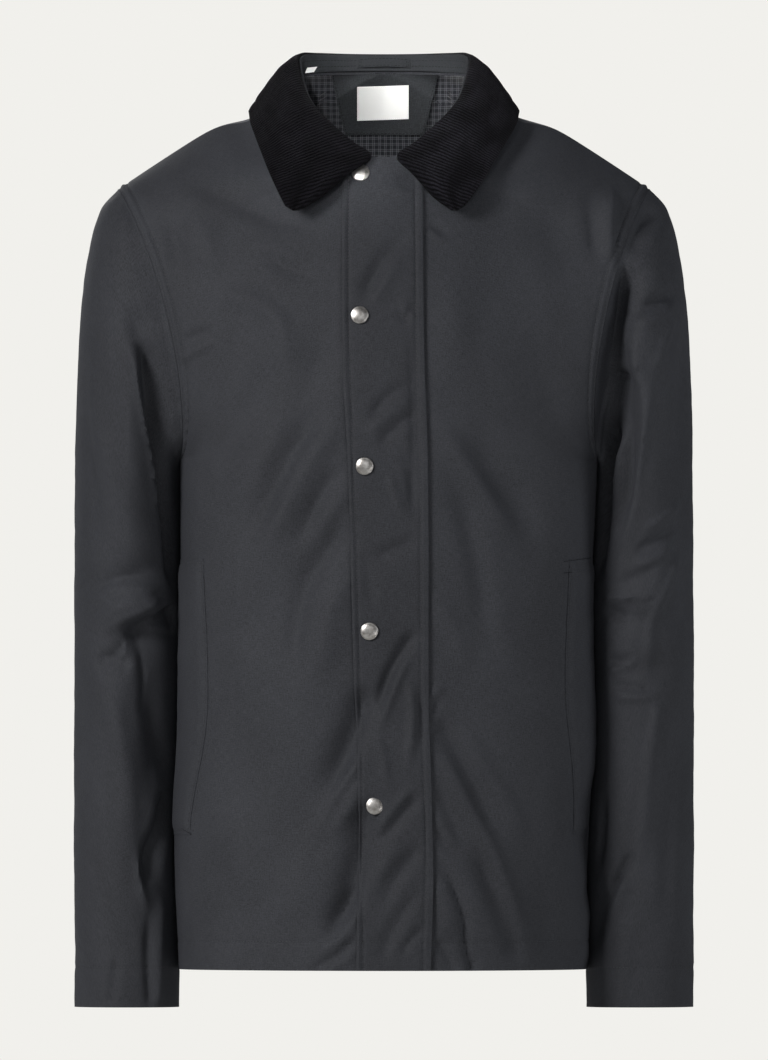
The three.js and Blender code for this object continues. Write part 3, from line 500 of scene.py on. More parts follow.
# ------------------------------------------------------------------ creases
# Each is (points in the front view, width to the left of its direction, width to the right,
# height, the shares of its length over which it starts and ends). Below zero is a trough.
BODY_CREASES = [
    # chest, wearer's right
    ([(-175, -48), (-130, -66), (-88, -84), (-42, -92)], 13, 10, -2.2, (0.3, 0.4)),
    ([(-168, -78), (-150, -100), (-142, -140)], 13, 15, 2.2, (0.3, 0.4)),
    ([(-104, -106), (-88, -120), (-68, -129), (-50, -131)], 5, 8, -1.7, (0.3, 0.5)),
    ([(-112, -101), (-92, -110), (-70, -117)], 6, 5, 1.0, (0.4, 0.5)),
    ([(-160, -142), (-118, -150), (-92, -164), (-82, -192), (-86, -224)], 8, 9, 2.3, (0.4, 0.4)),
    ([(-60, -165), (-56, -200), (-66, -236), (-92, -280)], 15, 15, -3.4, (0.4, 0.3)),
    ([(-170, -187), (-154, -180), (-138, -178)], 4, 5, -1.6, (0.3, 0.5)),
    ([(-172, -203), (-156, -193), (-138, -187)], 4, 4, 1.5, (0.2, 0.5)),
    ([(-42, -236), (-62, -256), (-84, -290), (-106, -336), (-122, -376)], 8, 11, -4.2, (0.25, 0.5)),
    ([(-34, -250), (-58, -284), (-84, -332), (-108, -382)], 9, 9, 3.0, (0.25, 0.5)),
    ([(-32, -286), (-50, -310), (-68, -344), (-80, -372)], 6, 7, -2.6, (0.25, 0.5)),
    ([(-30, -306), (-46, -334), (-62, -362)], 6, 6, 1.6, (0.3, 0.5)),
    ([(-28, -334), (-46, -360), (-66, -392), (-74, -430), (-73, -486)], 8, 10, -3.2, (0.2, 0.4)),
    # belly, wearer's right
    ([(-26, -380), (-42, -404), (-50, -448), (-52, -480)], 10, 9, 2.2, (0.3, 0.4)),
    ([(-15, -470), (-21, -500), (-36, -538), (-56, -576)], 9, 13, -6.8, (0.2, 0.4)),
    ([(-19, -528), (-34, -558), (-54, -592), (-68, -616)], 6, 6, 2.5, (0.2, 0.5)),
    ([(-21, -546), (-36, -568), (-56, -592)], 4, 5, -1.9, (0.2, 0.5)),
    ([(-20, -566), (-36, -588), (-54, -606)], 5, 5, 1.6, (0.2, 0.5)),
    ([(-14, -562), (-19, -610), (-31, -652), (-52, -694)], 10, 14, -7.0, (0.2, 0.3)),
    ([(-66, -600), (-72, -640), (-80, -690)], 14, 14, 2.2, (0.4, 0.4)),
    ([(-21, -640), (-34, -662), (-50, -684)], 4, 6, -2.0, (0.2, 0.4)),
    ([(-20, -662), (-34, -684), (-52, -700)], 4, 4, 1.6, (0.2, 0.3)),
    ([(-21, -684), (-38, -700), (-62, -713)], 3, 4, -1.6, (0.2, 0.2)),
    ([(-22, -696), (-36, -707), (-50, -714)], 3, 3, 1.2, (0.2, 0.2)),
    ([(-150, -560), (-120, -610), (-112, -670)], 20, 20, 1.5, (0.4, 0.4)),
    ([(-130, -420), (-112, -470), (-110, -540)], 20, 20, 1.6, (0.4, 0.4)),
    # storm flap and the front under it
    ([(-20, -156), (-8, -130), (6, -110), (26, -98)], 7, 5, -2.6, (0.3, 0.3)),
    ([(-10, -160), (4, -132), (18, -114)], 4, 6, 1.7, (0.3, 0.4)),
    ([(8, -52), (18, -46), (30, -43)], 3, 4, -1.2, (0.3, 0.3)),
    ([(-6, -66), (6, -60), (24, -66)], 5, 5, 1.0, (0.4, 0.4)),
    ([(8, -158), (17, -167), (26, -152)], 3, 4, -1.3, (0.3, 0.3)),
    ([(12, -152), (20, -160), (27, -176)], 3, 3, 1.0, (0.3, 0.3)),
    ([(21, -170), (24, -230), (25, -300), (27, -350)], 6, 4, -1.6, (0.3, 0.3)),
    ([(-14, -256), (0, -236), (14, -226), (30, -222)], 5, 5, -2.3, (0.3, 0.3)),
    ([(-16, -268), (-2, -252), (12, -241), (24, -236)], 4, 4, 1.6, (0.3, 0.4)),
    ([(-8, -278), (6, -262), (20, -250), (31, -245)], 4, 5, -2.2, (0.3, 0.3)),
    ([(2, -294), (10, -316), (17, -336)], 4, 4, 1.4, (0.3, 0.4)),
    ([(14, -270), (21, -300), (24, -340)], 5, 4, -1.5, (0.4, 0.4)),
    ([(-12, -372), (4, -362), (30, -352)], 6, 6, -1.8, (0.3, 0.3)),
    ([(-12, -352), (-13, -384), (-6, -420)], 6, 6, -1.2, (0.4, 0.4)),
    ([(31, -426), (18, -441), (6, -462), (-3, -488), (-8, -508)], 5, 6, -3.4, (0.2, 0.35)),
    ([(24, -446), (12, -468), (2, -494), (-5, -518)], 4, 5, 2.2, (0.3, 0.4)),
    ([(19, -462), (24, -492), (22, -524), (17, -552)], 5, 4, 1.8, (0.3, 0.4)),
    ([(27, -470), (30, -500), (28, -540)], 4, 4, -1.6, (0.3, 0.4)),
    ([(-8, -512), (0, -534), (4, -556), (14, -566)], 4, 5, 1.2, (0.3, 0.4)),
    ([(32, -566), (17, -580), (3, -598), (-14, -613)], 5, 7, -2.3, (0.2, 0.3)),
    ([(28, -554), (12, -574), (-4, -594), (-14, -604)], 4, 4, 1.5, (0.3, 0.4)),
    ([(34, -606), (18, -624), (4, -646), (-4, -672)], 6, 8, -2.2, (0.2, 0.4)),
    ([(20, -604), (4, -622), (-10, -644)], 6, 6, 1.3, (0.4, 0.4)),
    ([(33, -640), (16, -664), (2, -690), (-4, -713)], 6, 7, -1.9, (0.3, 0.3)),
    ([(34, -676), (22, -688), (12, -702)], 3, 4, -1.6, (0.2, 0.3)),
    # chest, wearer's left
    ([(36, -84), (46, -92), (56, -97)], 3, 3, -1.3, (0.3, 0.4)),
    ([(36, -94), (46, -101), (54, -104)], 3, 3, 1.0, (0.3, 0.4)),
    ([(44, -110), (58, -150), (60, -200), (56, -240)], 16, 18, 2.4, (0.4, 0.4)),
    ([(120, -60), (150, -110), (166, -160)], 24, 20, -2.4, (0.4, 0.4)),
    ([(40, -246), (62, -280), (90, -320), (116, -360)], 10, 10, 3.0, (0.3, 0.4)),
    ([(72, -250), (94, -296), (118, -336), (128, -380)], 12, 12, -3.0, (0.3, 0.4)),
    ([(46, -284), (66, -320), (78, -372), (86, -428), (96, -466)], 9, 11, -3.4, (0.3, 0.4)),
    ([(110, -180), (134, -220), (150, -280)], 22, 22, -2.0, (0.4, 0.4)),
    # belly, wearer's left
    ([(40, -394), (58, -430), (70, -470)], 10, 9, 2.0, (0.3, 0.4)),
    ([(40, -486), (46, -476), (52, -482)], 3, 4, 1.3, (0.3, 0.3)),
    ([(40, -500), (44, -488), (50, -492)], 3, 3, -1.1, (0.3, 0.3)),
    ([(42, -500), (58, -522), (74, -556), (90, -590), (102, -612)], 5, 9, -2.4, (0.1, 0.4)),
    ([(58, -496), (80, -536), (104, -576), (122, -620)], 9, 9, 2.4, (0.3, 0.4)),
    ([(42, -518), (60, -552), (84, -600), (104, -650), (122, -700)], 7, 7, 3.0, (0.2, 0.3)),
    ([(42, -556), (56, -584), (66, -604), (74, -606)], 4, 4, -1.8, (0.3, 0.3)),
    ([(42, -578), (52, -598), (64, -616)], 3, 3, 1.3, (0.3, 0.4)),
    ([(42, -592), (56, -612), (72, -618)], 3, 4, -1.3, (0.3, 0.4)),
    ([(72, -604), (88, -640), (104, -678), (112, -713)], 7, 9, -3.8, (0.3, 0.2)),
    ([(43, -616), (56, -640), (66, -668), (69, -694), (75, -714)], 5, 3, -2.8, (0.3, 0.05)),
    ([(42, -632), (50, -656), (56, -690)], 7, 6, 1.8, (0.3, 0.3)),
    ([(42, -686), (52, -700), (58, -714)], 3, 3, -1.4, (0.2, 0.1)),
    ([(54, -690), (62, -702), (68, -714)], 3, 3, 1.1, (0.2, 0.1)),
    ([(126, -620), (136, -660), (140, -713)], 12, 14, -2.0, (0.4, 0.3)),
    ([(172, -540), (168, -590), (164, -640)], 7, 7, -2.2, (0.4, 0.4)),
    ([(172, -640), (166, -680), (164, -713)], 8, 8, 2.0, (0.4, 0.2)),
    # ridge beside the wearer's left armhole
    ([(191, -50), (188, -84), (188, -126)], 5, 6, 3.0, (0.3, 0.3)),
    ([(196, -66), (193, -96), (197, -126)], 5, 5, -1.2, (0.4, 0.3)),
    ([(172, -52), (174, -86), (180, -126)], 6, 6, -1.8, (0.4, 0.4)),
    # beside the wearer's right armhole
    ([(-184, -70), (-176, -100), (-170, -140)], 7, 7, -1.6, (0.4, 0.4)),
]
BACK_CREASES = [
    ([(-150, -170), (-120, -214), (-74, -262), (-30, -300)], 9, 12, -3.2, (0.3, 0.5)),
    ([(-156, -212), (-122, -258), (-82, -300), (-44, -330)], 8, 9, 2.6, (0.3, 0.5)),
    ([(150, -180), (112, -232), (66, -276), (26, -300)], 10, 10, -3.4, (0.3, 0.5)),
    ([(158, -230), (120, -276), (84, -310)], 8, 9, 2.4, (0.3, 0.5)),
    ([(-14, -60), (-10, -130), (-4, -210)], 16, 16, 1.4, (0.4, 0.4)),
    ([(34, -90), (44, -150), (40, -220)], 14, 14, -1.6, (0.4, 0.4)),
    ([(-60, -86), (-64, -150), (-56, -214)], 15, 15, -1.8, (0.4, 0.4)),
    ([(-120, -400), (-70, -446), (-10, -470), (50, -480)], 8, 10, -3.0, (0.4, 0.4)),
    ([(-104, -436), (-50, -474), (10, -496)], 7, 8, 2.2, (0.4, 0.4)),
    ([(128, -410), (84, -448), (40, -520), (20, -590)], 9, 10, -2.8, (0.4, 0.4)),
    ([(112, -470), (78, -520), (58, -590), (52, -650)], 9, 9, 2.4, (0.4, 0.4)),
    ([(-76, -520), (-60, -580), (-66, -650), (-60, -713)], 10, 10, -3.0, (0.4, 0.2)),
    ([(-40, -560), (-30, -620), (-34, -713)], 9, 9, 2.2, (0.4, 0.2)),
    ([(98, -600), (90, -650), (94, -713)], 8, 9, -2.6, (0.4, 0.2)),
    ([(18, -640), (12, -680), (14, -713)], 8, 8, -1.8, (0.4, 0.2)),
    ([(-140, -590), (-130, -650), (-134, -713)], 9, 9, 2.0, (0.4, 0.2)),
]
CREASE_GAIN = 1.7
# Deep hollows between the sleeves and the body.
GUTTERS = {
    "right": [([(-208, -184), (-201, -214), (-195, -256), (-188, -306), (-182, -352), (-178, -400)],
               9, 3.6, -19, (0.1, 0.25))],
    "left": [([(198, -112), (190, -140), (187, -180), (186, -240), (184, -300), (182, -352),
               (178, -396)],
              5, 8, -25, (0.12, 0.25))]}
# Creases of the sleeves in the front view, and in the back view seen through from the front.
SLEEVE_CREASES = {
    "right": [
        ([(-218, -68), (-218, -96), (-219, -130)], 3, 3, 1.0, (0.3, 0.5)),
        ([(-214, -150), (-208, -172), (-203, -200)], 9, 7, -4.0, (0.5, 0.3)),
        ([(-216, -166), (-210, -190), (-204, -222), (-196, -262), (-190, -306), (-184, -350)],
         6, 5, 2.6, (0.3, 0.3)),
        ([(-246, -190), (-240, -250), (-226, -306), (-208, -350)], 10, 10, 1.8, (0.4, 0.4)),
        ([(-250, -250), (-244, -310), (-236, -366)], 8, 9, -1.8, (0.4, 0.4)),
        ([(-250, -398), (-236, -388), (-214, -383), (-192, -383)], 3, 4, -1.4, (0.3, 0.3)),
        ([(-238, -394), (-216, -393), (-184, -393)], 3, 3, 0.9, (0.2, 0.2)),
        ([(-236, -404), (-222, -410), (-206, -408), (-190, -398)], 7, 9, 2.0, (0.3, 0.3)),
        ([(-174, -408), (-192, -419), (-209, -427), (-224, -434)], 20, 3.5, -5.4, (0.1, 0.25)),
        ([(-184, -398), (-200, -411), (-222, -422), (-236, -430)], 5, 4, 2.6, (0.3, 0.4)),
        ([(-222, -434), (-223, -444), (-236, -452)], 4, 5, -2.6, (0.3, 0.3)),
        ([(-242, -451), (-228, -454), (-208, -456)], 5, 11, -3.6, (0.15, 0.3)),
        ([(-236, -466), (-224, -500), (-216, -550), (-212, -610)], 8, 16, 2.2, (0.3, 0.3)),
        ([(-197, -426), (-195, -470), (-191, -510), (-190, -545), (-194, -590)],
         38, 20, -6.0, (0.06, 0.4)),
        ([(-202, -440), (-199, -470), (-201, -510)], 4, 4, -1.4, (0.4, 0.4)),
        ([(-180, -560), (-188, -600), (-198, -626), (-201, -650)], 13, 9, -5.6, (0.25, 0.3)),
        ([(-206, -610), (-204, -644), (-197, -668)], 5, 4, 2.2, (0.3, 0.4)),
        ([(-186, -640), (-188, -690), (-190, -745)], 6, 6, 1.6, (0.4, 0.1)),
        ([(-196, -656), (-198, -700), (-196, -745)], 6, 5, -2.2, (0.4, 0.1)),
        ([(-222, -690), (-226, -716), (-230, -745)], 5, 5, -1.2, (0.4, 0.1)),
    ],
    "left": [
        ([(236, -76), (220, -82), (208, -97), (200, -122)], 6, 7, -4.0, (0.3, 0.3)),
        ([(232, -90), (218, -104), (210, -130)], 7, 7, 2.0, (0.4, 0.4)),
        ([(246, -146), (230, -152), (212, -161), (198, -166)], 4, 5, -3.4, (0.25, 0.3)),
        ([(244, -156), (228, -163), (206, -172)], 6, 6, 2.4, (0.3, 0.3)),
        ([(194, -205), (206, -207), (217, -208)], 3.5, 3.5, 1.0, (0.3, 0.4)),
        ([(192, -213), (206, -215), (218, -213)], 5, 5, -2.0, (0.3, 0.4)),
        ([(243, -160), (234, -190), (224, -214)], 5, 6, 1.6, (0.3, 0.3)),
        ([(223, -208), (219, -250), (213, -300), (205, -344), (195, -378)], 6, 7, 2.2, (0.2, 0.3)),
        ([(202, -212), (201, -262), (199, -310), (194, -346)], 9, 14, -7.0, (0.08, 0.25)),
        ([(252, -160), (250, -230), (246, -290)], 8, 8, -1.6, (0.4, 0.4)),
        ([(250, -322), (234, -334), (214, -347)], 4, 4, 1.6, (0.3, 0.4)),
        ([(250, -338), (230, -352), (206, -366)], 5, 5, -2.4, (0.3, 0.3)),
        ([(242, -356), (226, -368), (204, -376)], 4, 4, 2.0, (0.3, 0.4)),
        ([(232, -378), (212, -384), (190, -392)], 5, 5, -1.6, (0.3, 0.4)),
        ([(183, -401), (206, -401), (232, -397)], 3, 3, 1.8, (0.2, 0.3)),
        ([(184, -412), (196, -415), (204, -421)], 4, 4, -1.9, (0.3, 0.4)),
        ([(246, -356), (240, -382), (230, -402), (222, -428), (220, -474)], 4, 9, 2.4, (0.2, 0.2)),
        ([(186, -452), (200, -454), (212, -449)], 4, 4, -1.6, (0.3, 0.4)),
        ([(188, -463), (202, -459), (214, -451)], 3, 3, 1.4, (0.2, 0.3)),
        ([(188, -473), (208, -476), (229, -479)], 3.4, 3, -1.6, (0.3, 0.3)),
        ([(192, -484), (210, -485), (232, -483)], 3.2, 4.5, 1.5, (0.3, 0.3)),
        ([(229, -484), (221, -540), (216, -600), (209, -640)], 4, 10, 2.4, (0.1, 0.4)),
        ([(246, -470), (243, -540), (238, -610), (236, -700)], 10, 10, -1.6, (0.4, 0.3)),
        ([(208, -612), (200, -628), (187, -648)], 4, 6, -3.2, (0.3, 0.3)),
        ([(206, -632), (198, -650), (188, -672)], 5, 5, 1.8, (0.3, 0.3)),
        ([(186, -560), (183, -600), (180, -634)], 5, 5, -2.4, (0.4, 0.4)),
        ([(204, -660), (202, -700), (200, -745)], 8, 8, 1.2, (0.4, 0.1)),
    ]}
SLEEVE_BACK_CREASES = [
    ([(250, -120), (232, -170), (206, -214)], 9, 9, -2.6, (0.4, 0.4)),
    ([(252, -180), (234, -230), (210, -270)], 8, 8, 2.2, (0.4, 0.4)),
    ([(190, -210), (196, -270), (206, -330)], 7, 8, -3.0, (0.4, 0.4)),
    ([(178, -372), (204, -384), (238, -380), (254, -366)], 6, 6, -4.2, (0.3, 0.3)),
    ([(180, -390), (206, -402), (240, -400)], 5, 5, 2.8, (0.3, 0.3)),
    ([(178, -424), (200, -420), (226, -430), (248, -424)], 6, 6, -4.0, (0.3, 0.3)),
    ([(182, -438), (206, -442), (232, -450)], 5, 5, 2.4, (0.3, 0.3)),
    ([(178, -466), (204, -462), (230, -476)], 5, 6, -3.0, (0.3, 0.4)),
    ([(236, -470), (224, -530), (220, -600)], 8, 8, -2.2, (0.4, 0.4)),
    ([(200, -500), (204, -560), (198, -640)], 8, 8, 2.0, (0.4, 0.4)),
    ([(246, -600), (226, -640), (206, -668)], 6, 6, -2.2, (0.4, 0.4)),
    ([(214, -680), (212, -745)], 8, 8, 1.4, (0.4, 0.1)),
]


# ------------------------------------------------------------------ clothed surfaces
def front_relief(x, z):
    return (line_height(FRONT_FOLDS, x, z) + CREASE_GAIN * crease_height(BODY_CREASES, x, z)
            + 0.35 * waves(x, z, 70, 4) + 0.12 * waves(x, z, 22, 9))


def back_relief(x, z):
    return (line_height(BACK_FOLDS, x, z) + CREASE_GAIN * crease_height(BACK_CREASES, x, z)
            + 0.4 * waves(x, z, 80, 5) + 0.12 * waves(x, z, 24, 10))


def torso(side, face, u, v, lift=0.0):
    """Points and directions of the creased torso, `lift` outside its surface."""
    point, out = torso_frame(side, face, u, v)
    x, z = point[..., 0], point[..., 2]
    calm = ease((1 - u) / 0.02) * ease((1 - v) / 0.03)
    relief = front_relief(x, z) if face == "front" else back_relief(x, z)
    return point + out * (relief * calm + lift)[..., None], out


def torso_edge(side, face, u, v):
    """The torso with its seam edges brought to where the neighbouring pieces are sewn."""
    point, out = torso(side, face, u, v)
    u, v = np.broadcast_arrays(np.asarray(u, float), np.asarray(v, float))
    half = (-1 if face == "front" else 1) * SEWN_GAP / 2
    rise = np.clip((v - LOW_SHARE) / (1 - LOW_SHARE), 0, 1)
    top, side_seam = v == 1, (u == 1) & (v <= LOW_SHARE)
    hole = (u == 1) & (v > LOW_SHARE) & (v < 1)
    along = (torso_base(side, face, np.minimum(u + 0.02, 1), 1)
             - torso_base(side, face, np.maximum(u - 0.02, 0), 1))
    level = unit(vec(-along[..., 2], 0 * u, along[..., 0]) * SIDES[side])
    out = np.where(top[..., None], level, out)
    out = np.where(side_seam[..., None], np.array([SIDES[side], 0.0, 0.0]), out)
    out = np.where(hole[..., None], armhole_out(side, armhole_turn(face, rise), out), out)
    point = point + vec(0 * u, half * (top | side_seam), 0 * u)
    if face == "front":
        open_edge = (u == 0) & (v <= LOW_SHARE + (1 - LOW_SHARE) * NECK_SHARE["front"])
        point = point + vec(SIDES[side] * GAP / 2 * open_edge, 0 * u, 0 * u)
    return point, out


def flat_of(side, face, u, v):
    """Fabric coordinates of the torso, in millimetres, for the weave."""
    u, v = np.broadcast_arrays(np.asarray(u, float), np.asarray(v, float))
    start = 0 if face == "front" else BACK_CLOTH_START
    return vec(SIDES[side] * u * CLOTH_WIDTH + start, v * CLOTH_HEIGHT, 0 * u)


def at_front_view(frame_of, keys, wanted):
    """Parameters of the surface points whose front view is nearest to each wanted (x, z)."""
    a, b = np.meshgrid(*keys, indexing="ij")
    spots = frame_of(a, b)[0]
    tree = KDTree(spots[..., 0].size)
    for k, p in enumerate(spots.reshape(-1, 3)):
        tree.insert((p[0], 0, p[2]), k)
    tree.balance()
    found = np.array([tree.find((x, 0, z))[1] for x, z in wanted])
    a, b = a.ravel()[found].copy(), b.ravel()[found].copy()
    lo, hi = [k.min() for k in keys], [k.max() for k in keys]
    e = 1e-4
    for _ in range(6):
        here = frame_of(a, b)[0][..., [0, 2]]
        miss = here - wanted
        da = (frame_of(np.minimum(a + e, 1), b)[0][..., [0, 2]] - here) / e
        db = (frame_of(a, np.minimum(b + e, 1))[0][..., [0, 2]] - here) / e
        area = da[:, 0] * db[:, 1] - db[:, 0] * da[:, 1]
        area = np.where(np.abs(area) < 1, 1, area)
        step_a = (miss[:, 0] * db[:, 1] - miss[:, 1] * db[:, 0]) / area
        step_b = (da[:, 0] * miss[:, 1] - da[:, 1] * miss[:, 0]) / area
        a = np.clip(a - np.clip(step_a, -0.02, 0.02), lo[0], hi[0])
        b = np.clip(b - np.clip(step_b, -0.02, 0.02), lo[1], hi[1])
    return a, b


def sleeve_line(side, line, back=False):
    """A line of the front view as (arc round the sleeve, height) of the sleeve's surface."""
    start = 0.5 if back else 0.0
    keys = (np.linspace(start + 0.004, start + 0.496, 60), np.linspace(0, 1, 120))
    line = smooth_line(line, 9)
    around, along = at_front_view(lambda a, b: sleeve_frame(side, a, b), keys, line)
    point = sleeve_base(side, around, along)
    return [(arc, z) for arc, z in zip(sleeve_arc(around), point[:, 2])]


def sleeve_folds(side):
    rows = [(math.radians(a0) * SLEEVE_RADIUS, z0, math.radians(a1) * SLEEVE_RADIUS, z1, w, h)
            for a0, z0, a1, z1, w, h in SLEEVE_FOLDS[side]]
    rows += [(math.radians(200) * SLEEVE_RADIUS, -276,
              math.radians(196) * SLEEVE_RADIUS, -340, 13, 4.5)]
    creases = [(sleeve_line(side, line), left, right, tall * CREASE_GAIN, ends)
               for line, left, right, tall, ends in SLEEVE_CREASES[side]]
    creases += [(sleeve_line(side, line), *rest) for line, *rest in GUTTERS[side]]
    for line, left, right, tall, ends in SLEEVE_BACK_CREASES:
        line = [(SIDES[side] * x, z + (12 if side == "left" else 0)) for x, z in line]
        creases.append((sleeve_line(side, line, back=True), left, right, tall * CREASE_GAIN, ends))
    return rows, creases


FOLDS_OF = {side: sleeve_folds(side) for side in SIDES}


def sleeve(side, around, along, lift=0.0):
    point, out = sleeve_frame(side, around, along)
    arc, z = np.broadcast_arrays(sleeve_arc(around), point[..., 2])
    rows, creases = FOLDS_OF[side]
    relief = (line_height(rows, arc, z) + crease_height(creases, arc, z)
              + 0.3 * waves(arc, z, 60, 6 if side == "left" else 7) + 0.1 * waves(arc, z, 20, 12))
    relief = relief * ease(along / 0.012)
    return point + out * (relief + lift)[..., None], out


# ------------------------------------------------------------------ materials
def srgb(r, g, b):
    """Linear colour of a light sRGB one given as 0 to 255."""
    return [((c / 255 + 0.055) / 1.055) ** 2.4 for c in (r, g, b)]


class Paint:
    """A small helper for building a node material."""

    def __init__(self, name):
        self.material = bpy.data.materials.new(name)
        self.material.use_nodes = True
        self.tree = self.material.node_tree
        self.shader = self.tree.nodes["Principled BSDF"]

    def node(self, kind, **inputs):
        n = self.tree.nodes.new("ShaderNode" + kind)
        for key, value in inputs.items():
            self.put(n, key, value)
        return n

    def put(self, n, key, value):
        if isinstance(key, str) and key in n.inputs:
            socket = n.inputs[key]
        elif isinstance(key, str) and key.startswith("in"):
            socket = n.inputs[int(key[2:])]
        else:
            setattr(n, key, value)
            return
        if isinstance(value, bpy.types.NodeSocket):
            self.tree.links.new(value, socket)
        else:
            socket.default_value = value

    def math(self, operation, a, b=0.0, c=0.0):
        n = self.tree.nodes.new("ShaderNodeMath")
        n.operation = operation
        for k, value in enumerate((a, b, c)):
            self.put(n, f"in{k}", value)
        return n.outputs[0]

    def plus(self, a, b):
        return self.math("ADD", a, b)

    def times(self, a, b):
        return self.math("MULTIPLY", a, b)

    def cloth(self):
        return self.node("Attribute", attribute_name="cloth").outputs["Vector"]

    def scaled(self, vector, x, y, z=1.0):
        n = self.node("Mapping")
        self.put(n, "Vector", vector)
        self.put(n, "Scale", (x, y, z))
        return n.outputs[0]

    def noise(self, vector, scale=1.0, detail=2.0, rough=0.5):
        n = self.node("TexNoise", Vector=vector, Scale=scale, Detail=detail, Roughness=rough)
        return n.outputs["Fac"]

    def ramp(self, value, stops):
        n = self.node("ValToRGB")
        self.put(n, "Fac", value)
        while len(n.color_ramp.elements) < len(stops):
            n.color_ramp.elements.new(0.5)
        for element, (at, colour) in zip(n.color_ramp.elements, stops):
            element.position = at
            element.color = [*colour, 1]
        return n.outputs["Color"]

    def mixed(self, factor, a, b):
        n = self.tree.nodes.new("ShaderNodeMix")
        n.data_type = "RGBA"
        self.put(n, "in0", factor)
        for k, value in ((6, a), (7, b)):
            if isinstance(value, bpy.types.NodeSocket):
                self.tree.links.new(value, n.inputs[k])
            else:
                n.inputs[k].default_value = [*value, 1]
        return n.outputs[2]

    def bump(self, height, distance, strength=1.0):
        n = self.node("Bump", Height=height, Distance=distance, Strength=strength)
        self.put(self.shader, "Normal", n.outputs[0])

    def set(self, **values):
        for key, value in values.items():
            self.put(self.shader, key.replace("_", " "), value)


def cotton_paint(name, colour, sheen=0.02, roughness=0.7):
    """Close-woven cotton with a faint coating: slubby threads both ways and a satin sheen."""
    p = Paint(name)
    flat = p.cloth()
    warp = p.noise(p.scaled(flat, 1.7, 0.16), 1.0, 3.0, 0.6)
    weft = p.noise(p.scaled(flat, 0.16, 1.7), 1.0, 3.0, 0.6)
    worn = p.noise(p.scaled(flat, 0.018, 0.012), 1.0, 3.0, 0.55)
    thread_x, thread_y = (
        p.math("SINE", p.times(p.node("SeparateXYZ", in0=flat).outputs[k], THREAD_TURN))
        for k in (0, 1))
    weave = p.times(thread_x, thread_y)
    slub = p.plus(warp, weft)
    fleck = p.noise(p.scaled(flat, 0.95, 0.95), 1.0, 2.0, 0.6)
    tone = p.plus(p.times(slub, 0.6), p.times(worn, 0.35))
    tone = p.plus(tone, p.times(fleck, 0.8))
    dark, light = [c * 0.3 for c in colour], [c * 1.95 for c in colour]
    p.set(Base_Color=p.mixed(p.math("SUBTRACT", tone, 0.7), dark, light))
    p.set(Roughness=p.plus(roughness - 0.06, p.times(worn, 0.14)))
    p.set(Specular_IOR_Level=0.11, Sheen_Weight=sheen, Sheen_Roughness=0.45)
    p.shader.inputs["Sheen Tint"].default_value = (0.78, 0.83, 1.0, 1)
    height = p.plus(p.times(slub, 0.7), p.times(weave, 0.12))
    p.bump(height, 0.00022, 0.55)
    return p.material


def corduroy_paint(name):
    """Near-black pile with painted light: a painted highlight on the wales' crests, and painted
    shade in their valleys and over the wearer's right half; the wales themselves are in the mesh.
    """
    p = Paint(name)
    flat = p.cloth()
    across = p.node("SeparateXYZ", in0=flat).outputs[0]
    # Painted highlight on the wales' crests and painted shade in the valleys between them, at the
    # phase of the mesh's wales.
    swing = p.math("COSINE", p.times(across, math.pi / WALE))
    crest_light_valley_shade = p.math("POWER", p.math("ABSOLUTE", swing), 1.6)
    tufts = p.noise(p.scaled(flat, 1.3, 0.55), 1.0, 4.0, 0.75)
    pile = p.ramp(tufts, [(0.36, (0, 0, 0)), (0.62, (1, 1, 1))])
    # Painted shade: the wearer's right half of the collar is painted half as bright as the left
    # half, blending across the back.
    half_painted_shade = p.ramp(p.plus(0.5, p.times(across, 0.02)), [(0.3, (0.5, 0.5, 0.5)), (0.7, (1, 1, 1))])
    rubbed = p.noise(p.scaled(flat, 0.035, 0.06), 1.0, 3.0, 0.55)
    worn = p.ramp(rubbed, [(0.4, (0.35, 0.35, 0.35)), (0.65, (1, 1, 1))])
    # The colour is random pile and wear times the painted crest light and the painted half shade.
    tone = p.times(p.times(crest_light_valley_shade, p.plus(pile, 0.25)), worn)
    tone = p.times(tone, half_painted_shade)
    p.set(Base_Color=p.mixed(tone, (0.0008, 0.0007, 0.0009), (0.019, 0.018, 0.023)))
    p.set(Roughness=0.9, Specular_IOR_Level=0.03, Sheen_Weight=0.02, Sheen_Roughness=0.4)
    p.bump(pile, 0.0004, 0.8)
    return p.material


def check_paint(name):
    """Navy-black plain weave with a fine check of pale double lines."""
    p = Paint(name)
    flat = p.cloth()
    parts = p.node("SeparateXYZ", in0=flat).outputs
    wobble = p.times(p.noise(flat, 0.08, 2.0), 1.4)
    lines = []
    for k in (0, 1):
        across = p.plus(parts[k], wobble)
        place = p.times(p.math("FRACT", p.math("DIVIDE", across, CHECK_PITCH)), CHECK_PITCH)
        pair = [p.math("COMPARE", place, at, 0.34) for at in (1.2, 2.6)]
        lines.append(p.math("MAXIMUM", *pair))
    crossing = p.times(p.plus(lines[0], lines[1]), 0.5)
    slub = p.noise(p.scaled(flat, 1.4, 1.4), 1.0, 3.0, 0.6)
    pale = p.mixed(crossing, (0.0055, 0.006, 0.009), (0.1, 0.104, 0.114))
    p.set(Base_Color=p.mixed(p.times(slub, 0.5), pale, (0.01, 0.01, 0.013)))
    p.set(Roughness=0.85, Specular_IOR_Level=0.2, Sheen_Weight=0.1)
    p.bump(slub, 0.0003, 0.6)
    return p.material


def label_paint(name):
    p = Paint(name)
    flat = p.cloth()
    weave = p.noise(p.scaled(flat, 2.2, 0.5), 1.0, 3.0, 0.6)
    soft = p.noise(p.scaled(flat, 0.05, 0.06), 1.0, 2.0, 0.5)
    tone = p.plus(p.times(weave, 0.5), p.times(soft, 0.5))
    p.set(Base_Color=p.mixed(tone, (0.84, 0.835, 0.81), (0.93, 0.93, 0.91)))
    p.set(Roughness=0.75, Specular_IOR_Level=0.3, Sheen_Weight=0.1)
    p.bump(weave, 0.0001, 0.5)
    return p.material


